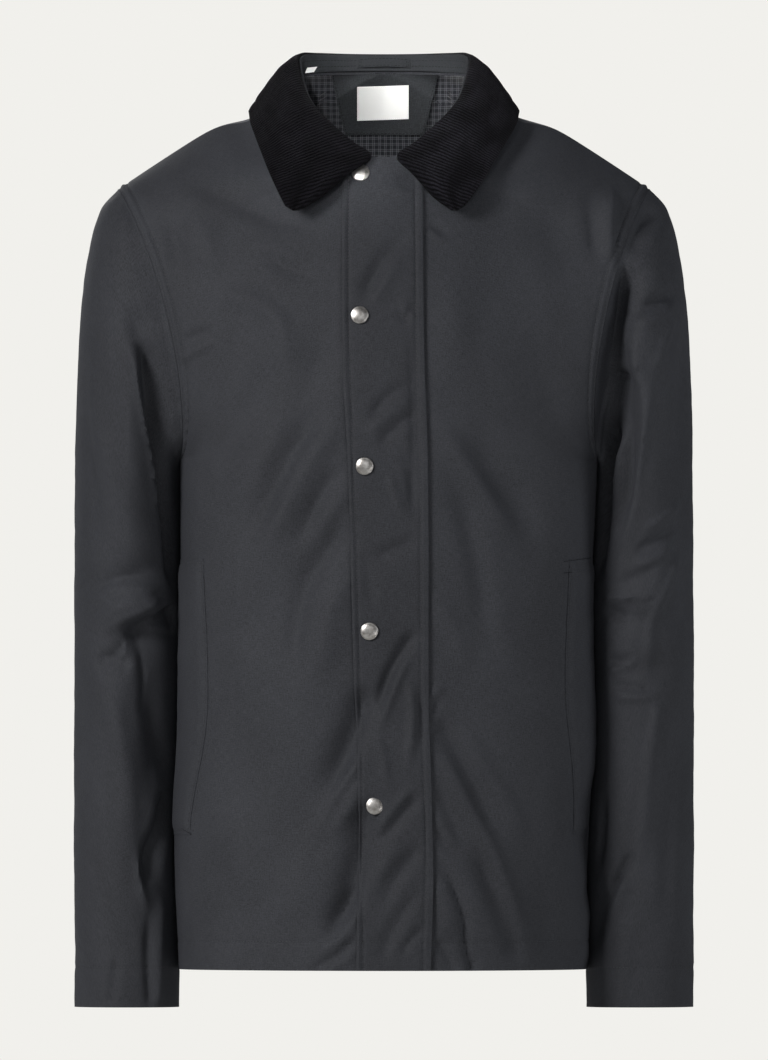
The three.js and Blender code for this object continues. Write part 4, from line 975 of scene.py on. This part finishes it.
def metal_paint(name):
    """Antique nickel: brushed in all directions, with tarnish in random patches."""
    p = Paint(name)
    where = p.node("TexCoord").outputs["Object"]
    grain = p.noise(p.scaled(where, 900, 900, 2600), 1.0, 4.0, 0.7)
    tarnish = p.noise(p.scaled(where, 260, 260, 260), 1.0, 3.0, 0.6)
    p.set(Base_Color=p.ramp(tarnish, [(0.3, (0.19, 0.178, 0.165)), (0.62, (0.38, 0.37, 0.36))]))
    p.set(Metallic=1.0, Roughness=p.plus(0.26, p.times(grain, 0.2)))
    p.bump(grain, 0.00005, 0.5)
    return p.material


def thread_paint(name, colour, shine=0.3):
    p = Paint(name)
    where = p.node("TexCoord").outputs["Object"]
    ply = p.noise(p.scaled(where, 1500, 1500, 1500), 1.0, 2.0, 0.5)
    p.set(Base_Color=p.mixed(ply, [c * 0.7 for c in colour], [c * 1.3 for c in colour]))
    p.set(Roughness=0.7, Specular_IOR_Level=shine, Sheen_Weight=0.0)
    p.bump(ply, 0.0001, 0.5)
    return p.material


BODY_COLOUR = (0.0262, 0.0274, 0.0318)
cotton = cotton_paint("coated_cotton_body", BODY_COLOUR)
# Painted shade: the sleeves get a copy of the body's cotton painted 3% darker, and the storm flap
# one painted 12% darker.
cotton_sleeve = cotton_paint("coated_cotton_sleeve", [c * 0.97 for c in BODY_COLOUR])
cotton_flap = cotton_paint("coated_cotton_flap", [c * 0.88 for c in BODY_COLOUR])
inner_cloth = cotton_paint("inner_plain_cloth", (0.0245, 0.0262, 0.0288), 0.0, 0.9)
sleeve_lining = cotton_paint("sleeve_lining_satin", (0.018, 0.0185, 0.021), 0.1, 0.45)
corduroy = corduroy_paint("corduroy_pile")
check = check_paint("fine_check_lining")
label_white = label_paint("blank_label_tape")
nickel = metal_paint("antique_nickel")
thread = thread_paint("thread_dark_grey", (0.032, 0.033, 0.037))
# Black thread for the real black stitches, also used for painted shadow lines at the pocket welts.
thread_black_and_shadow = thread_paint("thread_black_and_shadow", (0.003, 0.003, 0.0035), 0.02)
thread_white = thread_paint("thread_white", (0.62, 0.615, 0.6))


# ------------------------------------------------------------------ grids and lines on them
def spread(first, last, pitch):
    return np.linspace(first, last, max(2, int(round(abs(last - first) / pitch)) + 1))


def torso_rows(face, pitch):
    low = np.linspace(0, LOW_SHARE, int(428 / pitch) + 1)
    chest = NECK_SHARE[face] * (1 - (1 - np.linspace(0, 1, int(300 / pitch))) ** 1.25)
    top = np.linspace(NECK_SHARE[face], 1, int(96 / pitch) + 1)
    rises = np.concatenate([chest[1:], top[1:]])
    return np.concatenate([low, LOW_SHARE + (1 - LOW_SHARE) * rises])


def turned(grid, edge):
    """A grid turned so that the edge is its first row."""
    grid = grid.swapaxes(0, 1) if edge in ("start", "end") else grid
    return grid[::-1] if edge in ("high", "end") else grid


def distance_down(points):
    """How far each grid point lies from the first row, measured along the cloth."""
    steps = np.linalg.norm(np.diff(points, axis=0), axis=-1)
    return np.concatenate([np.zeros((1, steps.shape[1])), np.cumsum(steps, axis=0)])


def inset(grid, edge, distance):
    """The line that runs a distance inside an edge: low, high (rows), start or end (columns)."""
    points, outs = (turned(part, edge) for part in grid)
    away = distance_down(points)
    line, normal = ([[np.interp(distance, away[:, k], part[:, k, c]) for c in range(3)]
                     for k in range(points.shape[1])] for part in (points, outs))
    return np.array(line), unit(np.array(normal))


def edge_distance(points, edge):
    """How far each grid point lies from one edge, measured along the cloth."""
    away = distance_down(turned(points, edge))
    away = away[::-1] if edge in ("high", "end") else away
    return away.swapaxes(0, 1) if edge in ("start", "end") else away


def sewn(points, outs, away, run, row, depth, pucker, seed):
    """Cloth pulled in along a row of stitches `row` from an edge, and puckered beside it."""
    groove = -depth * np.exp(-((away - row) / 1.3) ** 2)
    ripple = (np.sin(run * 2 * np.pi / PUCKER_LENGTH + waves(run, away, 46, seed))
              * (0.6 + 0.4 * np.sin(run / 23 + seed)))
    groove = groove + pucker * ripple * np.exp(-((away - row) / 4.5) ** 2)
    return points + outs * groove[..., None]


def flap_round(side, v):
    """How far round a front row the storm flap's edge lies."""
    edge = "free" if side == "right" else "sewn"
    low, high = np.zeros_like(v), np.full_like(v, 0.7)
    for _ in range(30):
        u = (low + high) / 2
        p = torso_base(side, "front", u, v)
        past = SIDES[side] * (p[..., 0] - read(FLAP_EDGES, "z", edge, p[..., 2])) > 0
        high, low = np.where(past, u, high), np.where(past, low, u)
    return low


PITCH = 3.0
FINE = 1.3
PUCKER_LENGTH = 8.0
runs_grey, runs_black_and_shadow = [], []


# ------------------------------------------------------------------ fronts and back
def panel(side, face):
    rows = torso_rows(face, PITCH)
    us = np.concatenate([np.linspace(0, 0.93, int(225 / PITCH)), np.linspace(0.93, 1, 9)[1:]])
    u, v = np.meshgrid(us, rows)
    points, outs = torso_edge(side, face, u, v)
    hem = edge_distance(points, "low")
    points = sewn(points, outs, hem, points[..., 0], HEM_STITCH, 0.5, 0.28, 3)
    hole = edge_distance(points, "end")
    upper = ease((v - LOW_SHARE) / 0.03) * ease((1 - u) / 0.006)
    run = points[..., 2] * 1.3 + points[..., 1]
    gather = np.sin(run * 2 * np.pi / 7 + waves(run, hole, 40, 8))
    band = (0.7 * np.exp(-((hole - 4.6) / 2.4) ** 2) - 0.8 * np.exp(-((hole - 8.2) / 1.3) ** 2)
            - 0.6 * np.exp(-((hole - 1.6) / 1.1) ** 2)
            + 0.55 * gather * np.exp(-((hole - 5) / 4) ** 2))
    points = points + outs * (upper * band)[..., None]
    if mirrored(side, face):
        points, outs, u, v = flipped(points, outs, u, v)
    return (points, outs), flat_of(side, face, u, v)


def body_piece(name, sides, face, flat, area):
    grids, cloth = [], []
    for side in sides:
        grid, coords = panel(side, face)
        grids.append(grid)
        cloth.append(coords)
        chest = np.searchsorted(coords[:, 0, 1], LOW_SHARE * CLOTH_HEIGHT)
        hole = (grid[0][chest:], grid[1][chest:])
        edge = "start" if mirrored(side, face) else "end"
        runs_grey.extend(inset(hole, edge, row) for row in ARMHOLE_STITCHES)
        runs_grey.append(inset((grid[0][:60], grid[1][:60]), "low", HEM_STITCH))
    cloth_piece(name, "coated_cotton", [cotton, check], grids, SHELL, cloth,
                flat=flat, rests_on=["collar_stand"], area=area)


for side in SIDES:
    body_piece(f"front_{side}", [side], "front", (0.30, 0.80), 0.165)
body_piece("back", ["left", "right"], "back", (0.54, 0.79), 0.345)


# ------------------------------------------------------------------ sleeves
def sleeve_piece(side):
    turns = np.linspace(0, 1, int(340 / PITCH) + 1)
    rest = np.linspace(0, 1, int(680 / PITCH))[1:]
    alongs = np.concatenate([np.linspace(0, 0.03, 12), 0.03 + 0.97 * rest])
    around, along = np.meshgrid(turns, alongs)
    points, outs = sleeve(side, around % 1, along)
    seam = armhole_out(side, around[0] % 1, outs[0])
    away = points[6] - points[0]
    away = unit(away - seam * np.sum(away * seam, -1, keepdims=True))
    points[0] += away * GAP
    outs[0] = seam
    points[:, -1], outs[:, -1] = points[:, 0], outs[:, 0]
    cuff = edge_distance(points, "high")
    arc = np.broadcast_to(sleeve_arc(turns), cuff.shape)
    points = sewn(points, outs, cuff, arc, CUFF_STITCH, 0.5, 0.25, 13)
    hole = edge_distance(points, "low")
    gather = 0.35 * np.sin(arc * 2 * np.pi / 11 + waves(arc, hole, 50, 14))
    gather = gather * np.exp(-((hole - 7) / 6) ** 2)
    points = points + outs * (gather * ease(hole / 3))[..., None]
    start = 0 if side == "right" else LEFT_SLEEVE_CLOTH_START
    cloth = vec(arc + start, hole, 0 * hole)
    if side == "right":
        points, outs, cloth = flipped(points, outs, cloth)
    runs_grey.append(inset((points, outs), "high", CUFF_STITCH))
    cloth_piece(f"sleeve_{side}", "coated_cotton", [cotton_sleeve, sleeve_lining],
                [(points, outs)], SHELL, [cloth],
                flat=(0.38, 0.71), rests_on=[f"front_{side}", "back"], area=0.205)


for side in SIDES:
    sleeve_piece(side)


# ------------------------------------------------------------------ storm flap and snaps
FLAP_STITCH = table("z free sewn", [
    (-720, -17.5, 33), (-700, -17.5, 33), (-613, -18.5, 34.9), (-530, -19, 32.5), (-487, -20, 31),
    (-430, -21.5, 30.8), (-350, -23.5, 30.5), (-294, -26, 30.2), (-250, -27, 28.5),
    (-176, -29.6, 26.5), (-50, -29.5, 26.5), (-20, -29.5, 26.5)])


def flap_surface(points, outs):
    """The flap's own relief: stitched rows, a rolled free edge and a raised band at the seam."""
    x, z = points[..., 0], points[..., 2]
    height = np.zeros(x.shape)
    for key, seed in (("free", 21), ("sewn", 22)):
        away = x - read(FLAP_STITCH, "z", key, z)
        height -= 0.8 * np.exp(-(away / 1.3) ** 2)
        ripple = np.sin(z * 2 * np.pi / 7 + waves(z, x, 44, seed))
        height += 0.25 * ripple * np.exp(-(away / 4) ** 2)
    height += 0.7 * ease((x - read(FLAP_STITCH, "z", "sewn", z)) / 1.8)
    hem_roll = (read(FLAP_STITCH, "z", "free", z) - x) / 6
    past = x - read(FLAP_EDGES, "z", "free", z)
    height += 1.9 * np.clip(hem_roll, 0, 1) - 2.0 * np.exp(-(past / 1.3) ** 2)
    height += 1.6 * np.exp(-((z + 610) / 70) ** 2) * ease(1 - past / 14)
    return points + outs * height[..., None]


neck_v = LOW_SHARE + (1 - LOW_SHARE) * NECK_SHARE["front"]
rows = torso_rows("front", PITCH)
rows = rows[rows <= neck_v + 1e-9]
halves = []
for side in SIDES:
    shares = np.concatenate([np.linspace(0, 0.9, int(31 / FINE)),
                             [0.925, 0.95, 0.965, 0.977, 0.988, 1]])
    u = flap_round(side, rows)[:, None] * shares[None, :]
    points, outs = torso(side, "front", u, rows[:, None], GAP + FLAP)
    cloth = flat_of(side, "front", u, rows[:, None]) + [FLAP_CLOTH_START, 0, 0]
    halves.append([flap_surface(points, outs), outs, cloth])
right, left = halves
flap_points, flap_outs, flap_cloth = (
    np.concatenate([a[:, ::-1], b[:, 1:]], axis=1) for a, b in zip(right, left))
hem = edge_distance(flap_points, "low")
flap_points = sewn(flap_points, flap_outs, hem, flap_points[..., 0], HEM_STITCH, 0.5, 0.22, 5)
cloth_piece("storm_flap", "coated_cotton", [cotton_flap, inner_cloth],
            [(flap_points, flap_outs)], FLAP, [flap_cloth],
            flat=(0.071, 0.70), rests_on=["front_right", "front_left"], area=0.047)
runs_grey.append(inset((flap_points, flap_outs), "low", HEM_STITCH))


def front_spots(wanted, lift):
    """Points and directions of the creased front at given places of the front view."""
    wanted = np.array(wanted, float)
    points, outs = np.zeros((len(wanted), 3)), np.zeros((len(wanted), 3))
    for side in SIDES:
        own = (wanted[:, 0] - front_middle(wanted[:, 1])) * SIDES[side] >= 0
        if not own.any():
            continue
        keys = (np.linspace(0, 1, 90), np.linspace(0, neck_v, 200))
        u, v = at_front_view(lambda a, b: torso_frame(side, "front", a, b), keys, wanted[own])
        points[own], outs[own] = torso(side, "front", u, v, lift)
    return points, outs


def front_run(line, lift):
    line = smooth_line(line, 40)
    length = np.sum(np.linalg.norm(np.diff(line, axis=0), axis=1))
    return front_spots(smooth_line(line, max(4, int(length / 3))), lift)


for key in ("free", "sewn"):
    zs = np.linspace(-711, -38, 225)
    points, outs = front_spots(np.stack([read(FLAP_STITCH, "z", key, zs), zs], 1), GAP + FLAP)
    runs_grey.append((flap_surface(points, outs), outs))

# From the middle of the crown out and down to the rim, then under it.
SNAP_SIDES = 56
SNAP_PROFILE = [
    (0, 2.8), (1.6, 2.76), (3.1, 2.62), (4.4, 2.36), (5.4, 2.05), (6.0, 1.84), (6.25, 1.7),
    (6.45, 1.68), (6.9, 1.6), (7.25, 1.35), (7.45, 1.0), (7.5, 0.7), (7.35, 0.35), (6.6, 0), (0, 0)]


def snap_faces(rings, count):
    """Quads between the rings of a cap, then a fan on its crown and one under it."""
    faces = []
    for start in range(0, (rings - 1) * count, count):
        low, high = start, start + count
        faces += [(low + j, high + j, high + (j + 1) % count, low + (j + 1) % count)
                  for j in range(count)]
    crown, under, last = rings * count, rings * count + 1, (rings - 1) * count
    faces += [(crown, j, (j + 1) % count) for j in range(count)]
    faces += [(under, last + (j + 1) % count, last + j) for j in range(count)]
    return faces


def snap_cap(number, x, z):
    point, out = front_spots([(x, z)], GAP + FLAP + SNAP_LIFT)
    point, out = flap_surface(point, out)[0], out[0]
    turn = Vector((0, 0, 1)).rotation_difference(Vector(out))
    ring = np.arange(SNAP_SIDES) * 2 * np.pi / SNAP_SIDES
    spots = [(r * math.cos(a), r * math.sin(a), h) for r, h in SNAP_PROFILE[1:-1] for a in ring]
    spots += [(0, 0, SNAP_PROFILE[0][1]), (0, 0, SNAP_PROFILE[-1][1])]
    spots = [point + np.array(turn @ Vector(spot)) for spot in spots]
    faces = snap_faces(len(SNAP_PROFILE) - 2, SNAP_SIDES)
    cap = make_mesh(f"snap_{number}_cap", spots, faces, [nickel], sharp=50)
    finish_piece(cap, "snap_metal", f"snap_{number}")


for number, (x, z) in enumerate(SNAPS, start=1):
    snap_cap(number, x, z)


# ------------------------------------------------------------------ pocket welts
def height_share(z):
    return (z - HEM_Z) / (ARMPIT_Z - HEM_Z) * LOW_SHARE


def welt_piece(side):
    rows = spread(height_share(WELT_BOTTOM), height_share(WELT_TOP), PITCH / CLOTH_HEIGHT)
    t = np.linspace(0, 1, len(rows))
    start = np.where(t < 0.5, mix(WELT_ROUND["bottom"], WELT_ROUND["middle"], ease(2 * t)),
                     mix(WELT_ROUND["middle"], WELT_ROUND["top"], ease(2 * t - 1)))
    shares = np.concatenate([[0, 0.02, 0.05], np.linspace(0.1, 0.9, int(60 / PITCH)),
                             [0.95, 0.98, 1]])
    u = mix(start[:, None], WELT_ROUND["mouth"], shares[None, :])
    points = torso(side, "front", u, rows[:, None])[0]
    sewn_side = np.minimum.reduce(
        [edge_distance(points, edge) for edge in ("start", "low", "high")])
    lift = mix(0.5, GAP + WELT, ease(sewn_side / 12))
    points, outs = torso(side, "front", u, rows[:, None], lift)
    cloth = flat_of(side, "front", u, rows[:, None])
    for edge, row, seed in WELT_STITCHES:
        away = edge_distance(points, edge)
        run = points[..., 2] if edge == "start" else points[..., 0]
        points = sewn(points, outs, away, run, row, 0.35, 0.12, seed)
    if side == "right":
        points, outs, cloth, lift = flipped(points, outs, cloth, lift)
    for edge, row, _ in WELT_STITCHES:
        edge = "end" if side == "right" and edge == "start" else edge
        runs_grey.append(inset((points, outs), edge, row))
    cloth_piece(f"pocket_welt_{side}", "coated_cotton", [cotton, inner_cloth],
                [(points, outs)], [lift - GAP], [cloth],
                flat=(0.075, 0.24), rests_on=[f"front_{side}"], area=0.0133)


for side in SIDES:
    welt_piece(side)


# ------------------------------------------------------------------ collar
def wale_phase(side, station, across):
    """Distance across the wales, which run from the fold to the outer edge."""
    steps = np.linspace(0, FOLD_END_STATION, 120)
    middle = leaf_frame(side, steps, 0.5 + 0 * steps)[0]
    run = np.concatenate([[0], np.cumsum(np.linalg.norm(np.diff(middle, axis=0), axis=1))])
    last, outer = leaf_base(side, FOLD_END_STATION, 0.0), leaf_base(side, FOLD_END_STATION, 1.0)
    point = leaf_base(side, station, across) - last
    along = unit(outer - last)
    off = np.linalg.norm(point - along * np.sum(point * along, -1, keepdims=True), axis=-1)
    return np.where(station <= FOLD_END_STATION, np.interp(station, steps, run), run[-1] + off)


def collar_half(side):
    steps = np.linspace(0, 1, 400)
    phases = wale_phase(side, steps, 0.55 + 0 * steps)
    pitch = WALE / 6
    stations = np.interp(np.linspace(0, phases[-1], int(phases[-1] / pitch)), phases, steps)
    across = np.linspace(0, 1, 27)
    a, s = np.meshgrid(across, stations)
    rounding = np.sqrt(1 - 0.8 * np.clip((s - 0.957) / 0.043, 0, 1) ** 2)
    a = 0.5 + (a - 0.5) * rounding
    points, outs = leaf_frame(side, s, a)
    depth = a * COLLAR_CLOTH
    phase = wale_phase(side, s, a)
    phase = phase + 0.3 * waves(phase, depth, 17, 43) * ease(phase / 10)
    near_edge = np.minimum(ease(a / 0.05), ease((1 - a) / 0.03))
    wale = (np.abs(np.cos(np.pi * phase / WALE)) ** 0.7 - 0.6) * WALE_TALL
    stitched = -0.45 * np.exp(-((1 - a) * COLLAR_DEPTH - COLLAR_STITCH) ** 2 / 3.0)
    soft = 0.5 * waves(phase, depth, 60, 41) + 0.2 * waves(phase, depth, 20, 42)
    soft = soft * ease(a / 0.15) * ease(phase / 30)
    points = points + outs * (wale * near_edge + stitched + soft)[..., None]
    cloth = vec(phase * SIDES[side], depth, 0 * a)
    if side == "left":
        points, outs, cloth = flipped(points, outs, cloth)
    return (points, outs), cloth


collar_grids, collar_cloths = zip(*[collar_half(side) for side in SIDES])
cloth_piece("collar", "corduroy", [corduroy], collar_grids, COLLAR_LEAF, collar_cloths,
            flat=(0.62, 0.14), rests_on=["collar_stand", "front_right", "front_left", "back"],
            area=0.036)
for grid, edge in zip(collar_grids, ("end", "start")):
    runs_black_and_shadow.append(inset(grid, edge, COLLAR_STITCH))

last_station = mix(FOLD_END_STATION, SHOULDER_STATION, 1 / 5)
stations = np.linspace(0, last_station, int(190 / PITCH))
grids, cloths = [], []
for side in SIDES:
    edges = ("end", "start") if side == "right" else ("start", "end")
    order = np.linspace(0, 1, 14)[::-1] if side == "right" else np.linspace(0, 1, 14)
    up, station = np.meshgrid(order, stations)
    points, outs = stand_frame(side, station, up)
    run = station * STAND_LENGTH * SIDES[side]
    pucker = 0.25 * np.sin(run / 3 + waves(run, up * STAND_HEIGHT, 50, 51)) * ease(up / 0.2)
    height = (-0.35 * np.exp(-((up - 0.1) / 0.03) ** 2) - 0.35 * np.exp(-((up - 0.86) / 0.03) ** 2)
              + pucker * ease((1 - up) / 0.2))
    points = points + outs * (height * ease((1 - up) / 0.06))[..., None]
    grids.append((points, outs))
    cloths.append(vec(run, up * STAND_HEIGHT, 0 * up))
    for edge, row in zip(edges, (5, 6)):
        runs_black_and_shadow.append(inset((points - outs * STAND, -outs), edge, row))
cloth_piece("collar_stand", "inner_cloth", [inner_cloth], grids, STAND, cloths,
            flat=(0.33, 0.04), rests_on=["back", "front_right", "front_left"], area=0.0063)


# ------------------------------------------------------------------ inside of the back neck
LINING_AT = SHELL + GAP
FACING_AT = LINING_AT + THIN + 2.5
LABEL_AT = FACING_AT + THIN + GAP
LABEL_EDGES = (-22.6, 20.8, 1.2, 29.2)
LABEL_TILT = 0.034
FACING_EDGES = (-44, 45, -11.5, 36)

LINING_CREASES = [
    ([(-56, 34), (-57, 12), (-54, -14)], 4.5, 6, 5.5, (0.2, 0.3)),
    ([(-66, 20), (-67, 0), (-66, -30)], 4, 5, 3.5, (0.3, 0.4)),
    ([(61, 34), (60, 10), (57, -14)], 6, 4.5, 6.0, (0.2, 0.3)),
    ([(70, 20), (70, 0), (68, -30)], 5, 5, 3.5, (0.3, 0.4)),
    ([(10, -16), (14, -34), (12, -60)], 7, 7, 1.2, (0.4, 0.4)),
    ([(-20, -14), (-24, -34), (-22, -60)], 6, 7, 1.4, (0.4, 0.4))]


def lining_piece():
    low = LOW_SHARE + (1 - LOW_SHARE) * NECK_SHARE["back"] * (1 - (1 - 4 / 7) ** 1.5)
    rows = spread(low, 1, PITCH / 420)
    u, v = np.meshgrid(np.linspace(0, 0.35, int(96 / FINE)), rows)
    grids, cloths = [], []
    for side in SIDES:
        points, outs = torso_frame(side, "back", u, v)
        points, outs = np.where((v == 1)[..., None], torso_edge(side, "back", u, v), (points, outs))
        relief = crease_height(LINING_CREASES, points[..., 0], points[..., 2])
        relief = relief * ease((1 - v) / 0.04) * ease((0.35 - u) / 0.05) - 0.15
        points = points - outs * (LINING_AT + np.maximum(relief, -0.25))[..., None]
        cloth = vec(points[..., 0], points[..., 2], 0 * u)
        if side == "left":
            points, outs, cloth = flipped(points, outs, cloth)
        grids.append((points, outs))
        cloths.append(cloth)
    cloth_piece("neck_lining", "check_lining", [check], grids, THIN, cloths,
                flat=(0.17, 0.17), rests_on=["collar_stand", "back"], area=0.026)


def back_neck_z(x):
    t = np.arcsin(np.minimum(np.abs(x) / NECK["side"][0], 1)) / (np.pi / 2)
    return neck_point("left", "back", t)[..., 2]


def inside_back(x, z, depth):
    """Points moved straight forward from the smooth back until they lie this deep inside it."""
    x, z = np.broadcast_arrays(x, np.minimum(z, back_neck_z(x) - 1.5))
    wanted = np.stack([x.ravel(), z.ravel()], 1)
    points, outs = np.zeros((len(wanted), 3)), np.zeros((len(wanted), 3))
    for side in SIDES:
        own = wanted[:, 0] * SIDES[side] >= (0 if side == "left" else 1e-9)
        keys = (np.linspace(0, 0.6, 80), np.linspace(0.7, 1, 80))
        u, v = at_front_view(lambda a, b: torso_frame(side, "back", a, b), keys, wanted[own])
        points[own], outs[own] = torso_frame(side, "back", u, v)
    bend = 0.35 * waves(wanted[:, 0], wanted[:, 1], 46, 61)
    points[:, 1] -= (depth + bend) / outs[:, 1]
    return points.reshape(*x.shape, 3), outs.reshape(*x.shape, 3)


def facing_pieces():
    left, right, bottom, top = FACING_EDGES
    zs = np.concatenate([spread(bottom, top, 1.6), [38.5, NECK["back"][2]]])
    x, z = np.meshgrid(spread(right, left, 1.6), zs)
    x = x * (1 - 0.25 * ease((np.abs(x) - 22) / 14) * np.clip((top - z) / (top - bottom), 0, 1))
    points, outs = inside_back(x, z, FACING_AT)
    cloth_piece("neck_facing", "inner_cloth", [inner_cloth],
                [(points, outs)], THIN, [vec(x, z, 0 * x)],
                flat=(0.09, 0.058), rests_on=["neck_lining", "collar_stand"], area=0.0045)
    inner = (points - outs * THIN, -outs)
    for edge in ("start", "end", "low"):
        runs_black_and_shadow.append(inset(inner, edge, 1.6))
    left, right, bottom, top = LABEL_EDGES
    x, z = np.meshgrid(spread(right, left, 1.4), spread(bottom, top, 1.4))
    z = z + LABEL_TILT * x
    points, outs = inside_back(x, z, LABEL_AT)
    cloth_piece("neck_label", "label_cloth", [label_white],
                [(points, outs)], LABEL, [vec(x, z, 0 * x)],
                flat=(0.0435, 0.035), rests_on=["neck_facing"])
    inner = (points - outs * LABEL, -outs)
    return [inset(inner, edge, 1.1) for edge in ("start", "end", "low", "high")]


def on_stand(name, slot, material, stations, ups, depth, bow, thickness, flat, rows,
             area=None, lean=0):
    """A strip that hangs inside the stand; it returns its inner face."""
    first, last = stations
    station, up = np.meshgrid(np.linspace(last, first, rows[0]), np.linspace(*ups, rows[1]))
    place = np.abs(station + lean * (up - ups[0]))
    right, left = stand_frame("right", place, up), stand_frame("left", place, up)
    own = (station < 0)[..., None]
    points, outs = np.where(own, right[0], left[0]), np.where(own, right[1], left[1])
    share = (station - first) / (last - first)
    inward = STAND + depth + bow * np.sin(np.pi * share)
    points = points - outs * inward[..., None]
    cloth = vec(station * STAND_LENGTH, up * STAND_HEIGHT, 0 * up)
    cloth_piece(name, slot, [material], [(points, outs)], thickness, [cloth],
                flat=flat, rests_on=["collar_stand"], area=area)
    return points - outs * thickness, -outs


lining_piece()
label_runs = facing_pieces()
loop = on_stand("hanger_loop", "inner_cloth", inner_cloth, (-0.092, 0.092), (0.15, 0.75),
                GAP, 2, THIN, (0.046, 0.0102), (44, 16))
for edge in ("start", "end"):
    runs_black_and_shadow.extend([inset(loop, edge, 1.2), inset(loop, edge, 2.4)])
for edge in ("low", "high"):
    runs_black_and_shadow.append(inset(loop, edge, 1.4))
on_stand("size_tab", "label_cloth", label_white, (-0.35, -0.285), (0.02, 0.3),
         GAP + 0.6, 0.3, LABEL, (0.0135, 0.01), (14, 12), area=0.00007, lean=0.05)


# ------------------------------------------------------------------ stitches
for line in (
        [(-150, -383), (-148, -440), (-144, -500), (-150, -535), (-156, -560), (-160, -600)],
        [(-171, -370), (-152, -372)],
        [(149, -385), (150, -470), (156, -520), (158, -570)]):
    runs_grey.append(front_run(line, 0.0))

# Painted shadow in black thread: a dark tube along the slit under the lifted bottom end of the
# wearer's right welt, and black rows along the top edge and stitched ditch of the wearer's left
# welt, where thin shade falls; the real stitches there are the grey rows.
for line in ([(-176.5, -590), (-160, -600)], [(149, -371), (160, -369.5), (173, -367.5)],
             [(149, -380.5), (160, -379.5), (173, -377.5)]):
    runs_black_and_shadow.append(front_run(line, 0.9))

grey = threads("stitches_grey", runs_grey, thread)
black = threads("stitches_black", runs_black_and_shadow, thread_black_and_shadow, radius=0.2)
white = threads("stitches_label", label_runs, thread_white, radius=0.15, length=1.1, pitch=1.7)
for piece, slot in ((grey, "coated_cotton"), (black, "inner_cloth"), (white, "label_cloth")):
    finish_piece(piece, slot)


# ------------------------------------------------------------------ stage
FLOOR_Z, FLOOR_REACH, FLOOR_SIDES = -900, 2800, 96
CAMERA_FAR, CAMERA_HEIGHT, CAMERA_LENS = 28, -0.3444, 1132.1
TRUNK = (0, 0, -0.35)


def floor():
    ring = np.arange(FLOOR_SIDES) * 2 * np.pi / FLOOR_SIDES
    points = [(0, 0, FLOOR_Z)]
    points += [(FLOOR_REACH * math.cos(a), FLOOR_REACH * math.sin(a), FLOOR_Z) for a in ring]
    faces = [(0, 1 + k, 1 + (k + 1) % FLOOR_SIDES) for k in range(FLOOR_SIDES)]
    p = Paint("pale_floor")
    where = p.node("TexCoord").outputs["Object"]
    reach = p.node("VectorMath", operation="LENGTH", in0=where).outputs["Value"]
    share = p.math("DIVIDE", reach, FLOOR_REACH / 1000)
    fade = p.ramp(share, [(0.42, (1, 1, 1)), (1.0, (0, 0, 0))])
    grain = p.noise(where, 3.0, 2.0)
    p.set(Base_Color=p.mixed(grain, (0.78, 0.775, 0.75), (0.82, 0.815, 0.79)), Alpha=fade)
    p.set(Roughness=0.9)
    return make_mesh("floor", points, faces, [p.material])


def lamp(name, kind, place, aim, power, **settings):
    """A light that isn't seen itself, at a place and aimed at a point, in metres."""
    light = bpy.data.lights.new(name, kind)
    light.energy = power
    for key, value in settings.items():
        setattr(light, key, value)
    body = bpy.data.objects.new(name, light)
    bpy.context.scene.collection.objects.link(body)
    body.location = place
    body.rotation_euler = (Vector(aim) - Vector(place)).to_track_quat("-Z", "Y").to_euler()
    body.visible_camera = False
    return body


def disk(name, place, aim, size, power, colour=(1, 1, 1)):
    return lamp(name, "AREA", place, aim, power, shape="DISK", size=size, color=colour)


def backdrop():
    """Seen by the camera as a pale plain ground; softer as a light."""
    world = bpy.data.worlds.new("studio")
    world.use_nodes = True
    nodes, links = world.node_tree.nodes, world.node_tree.links
    seen, glow = nodes["Background"], nodes.new("ShaderNodeBackground")
    seen.inputs["Color"].default_value = [*srgb(241, 240, 236), 1]
    glow.inputs["Color"].default_value = (0.95, 0.97, 1.0, 1)
    glow.inputs["Strength"].default_value = 0.12
    choice, rays = nodes.new("ShaderNodeMixShader"), nodes.new("ShaderNodeLightPath")
    links.new(rays.outputs["Is Camera Ray"], choice.inputs[0])
    links.new(glow.outputs[0], choice.inputs[1])
    links.new(seen.outputs[0], choice.inputs[2])
    links.new(choice.outputs[0], nodes["World Output"].inputs["Surface"])
    bpy.context.scene.world = world


ground = floor()
backdrop()
lamps = [
    disk("key", (-2.6, -2.6, 1.2), TRUNK, 1.4, 160, (1.0, 0.99, 0.975)),
    disk("side", (3.2, -0.8, 0.2), TRUNK, 1.6, 32, (0.97, 0.985, 1.0)),
    disk("low", (2.0, -2.8, -1.6), TRUNK, 1.6, 50),
    disk("front", (0, -3.6, 0.5), (0, 0, -0.2), 2.0, 14),
    lamp("neck", "SPOT", (-0.25, -1.6, 0.34), (0, 0.06, 0.02), 560,
         spot_size=math.radians(4.4), spot_blend=0.8, shadow_soft_size=0.12),
    disk("behind", (-1.0, 3.3, 1.2), (0, 0, -0.3), 2.0, 40)]

camera = bpy.data.cameras.new("camera")
camera.sensor_fit, camera.sensor_width, camera.lens = "AUTO", 36, CAMERA_LENS
eye = bpy.data.objects.new("camera", camera)
bpy.context.scene.collection.objects.link(eye)
eye.location = (0, -CAMERA_FAR, CAMERA_HEIGHT)
eye.rotation_euler = (math.pi / 2, 0, 0)
bpy.context.scene.camera = eye
bpy.context.scene.view_settings.view_transform = "Standard"

bpy.context.view_layer.update()
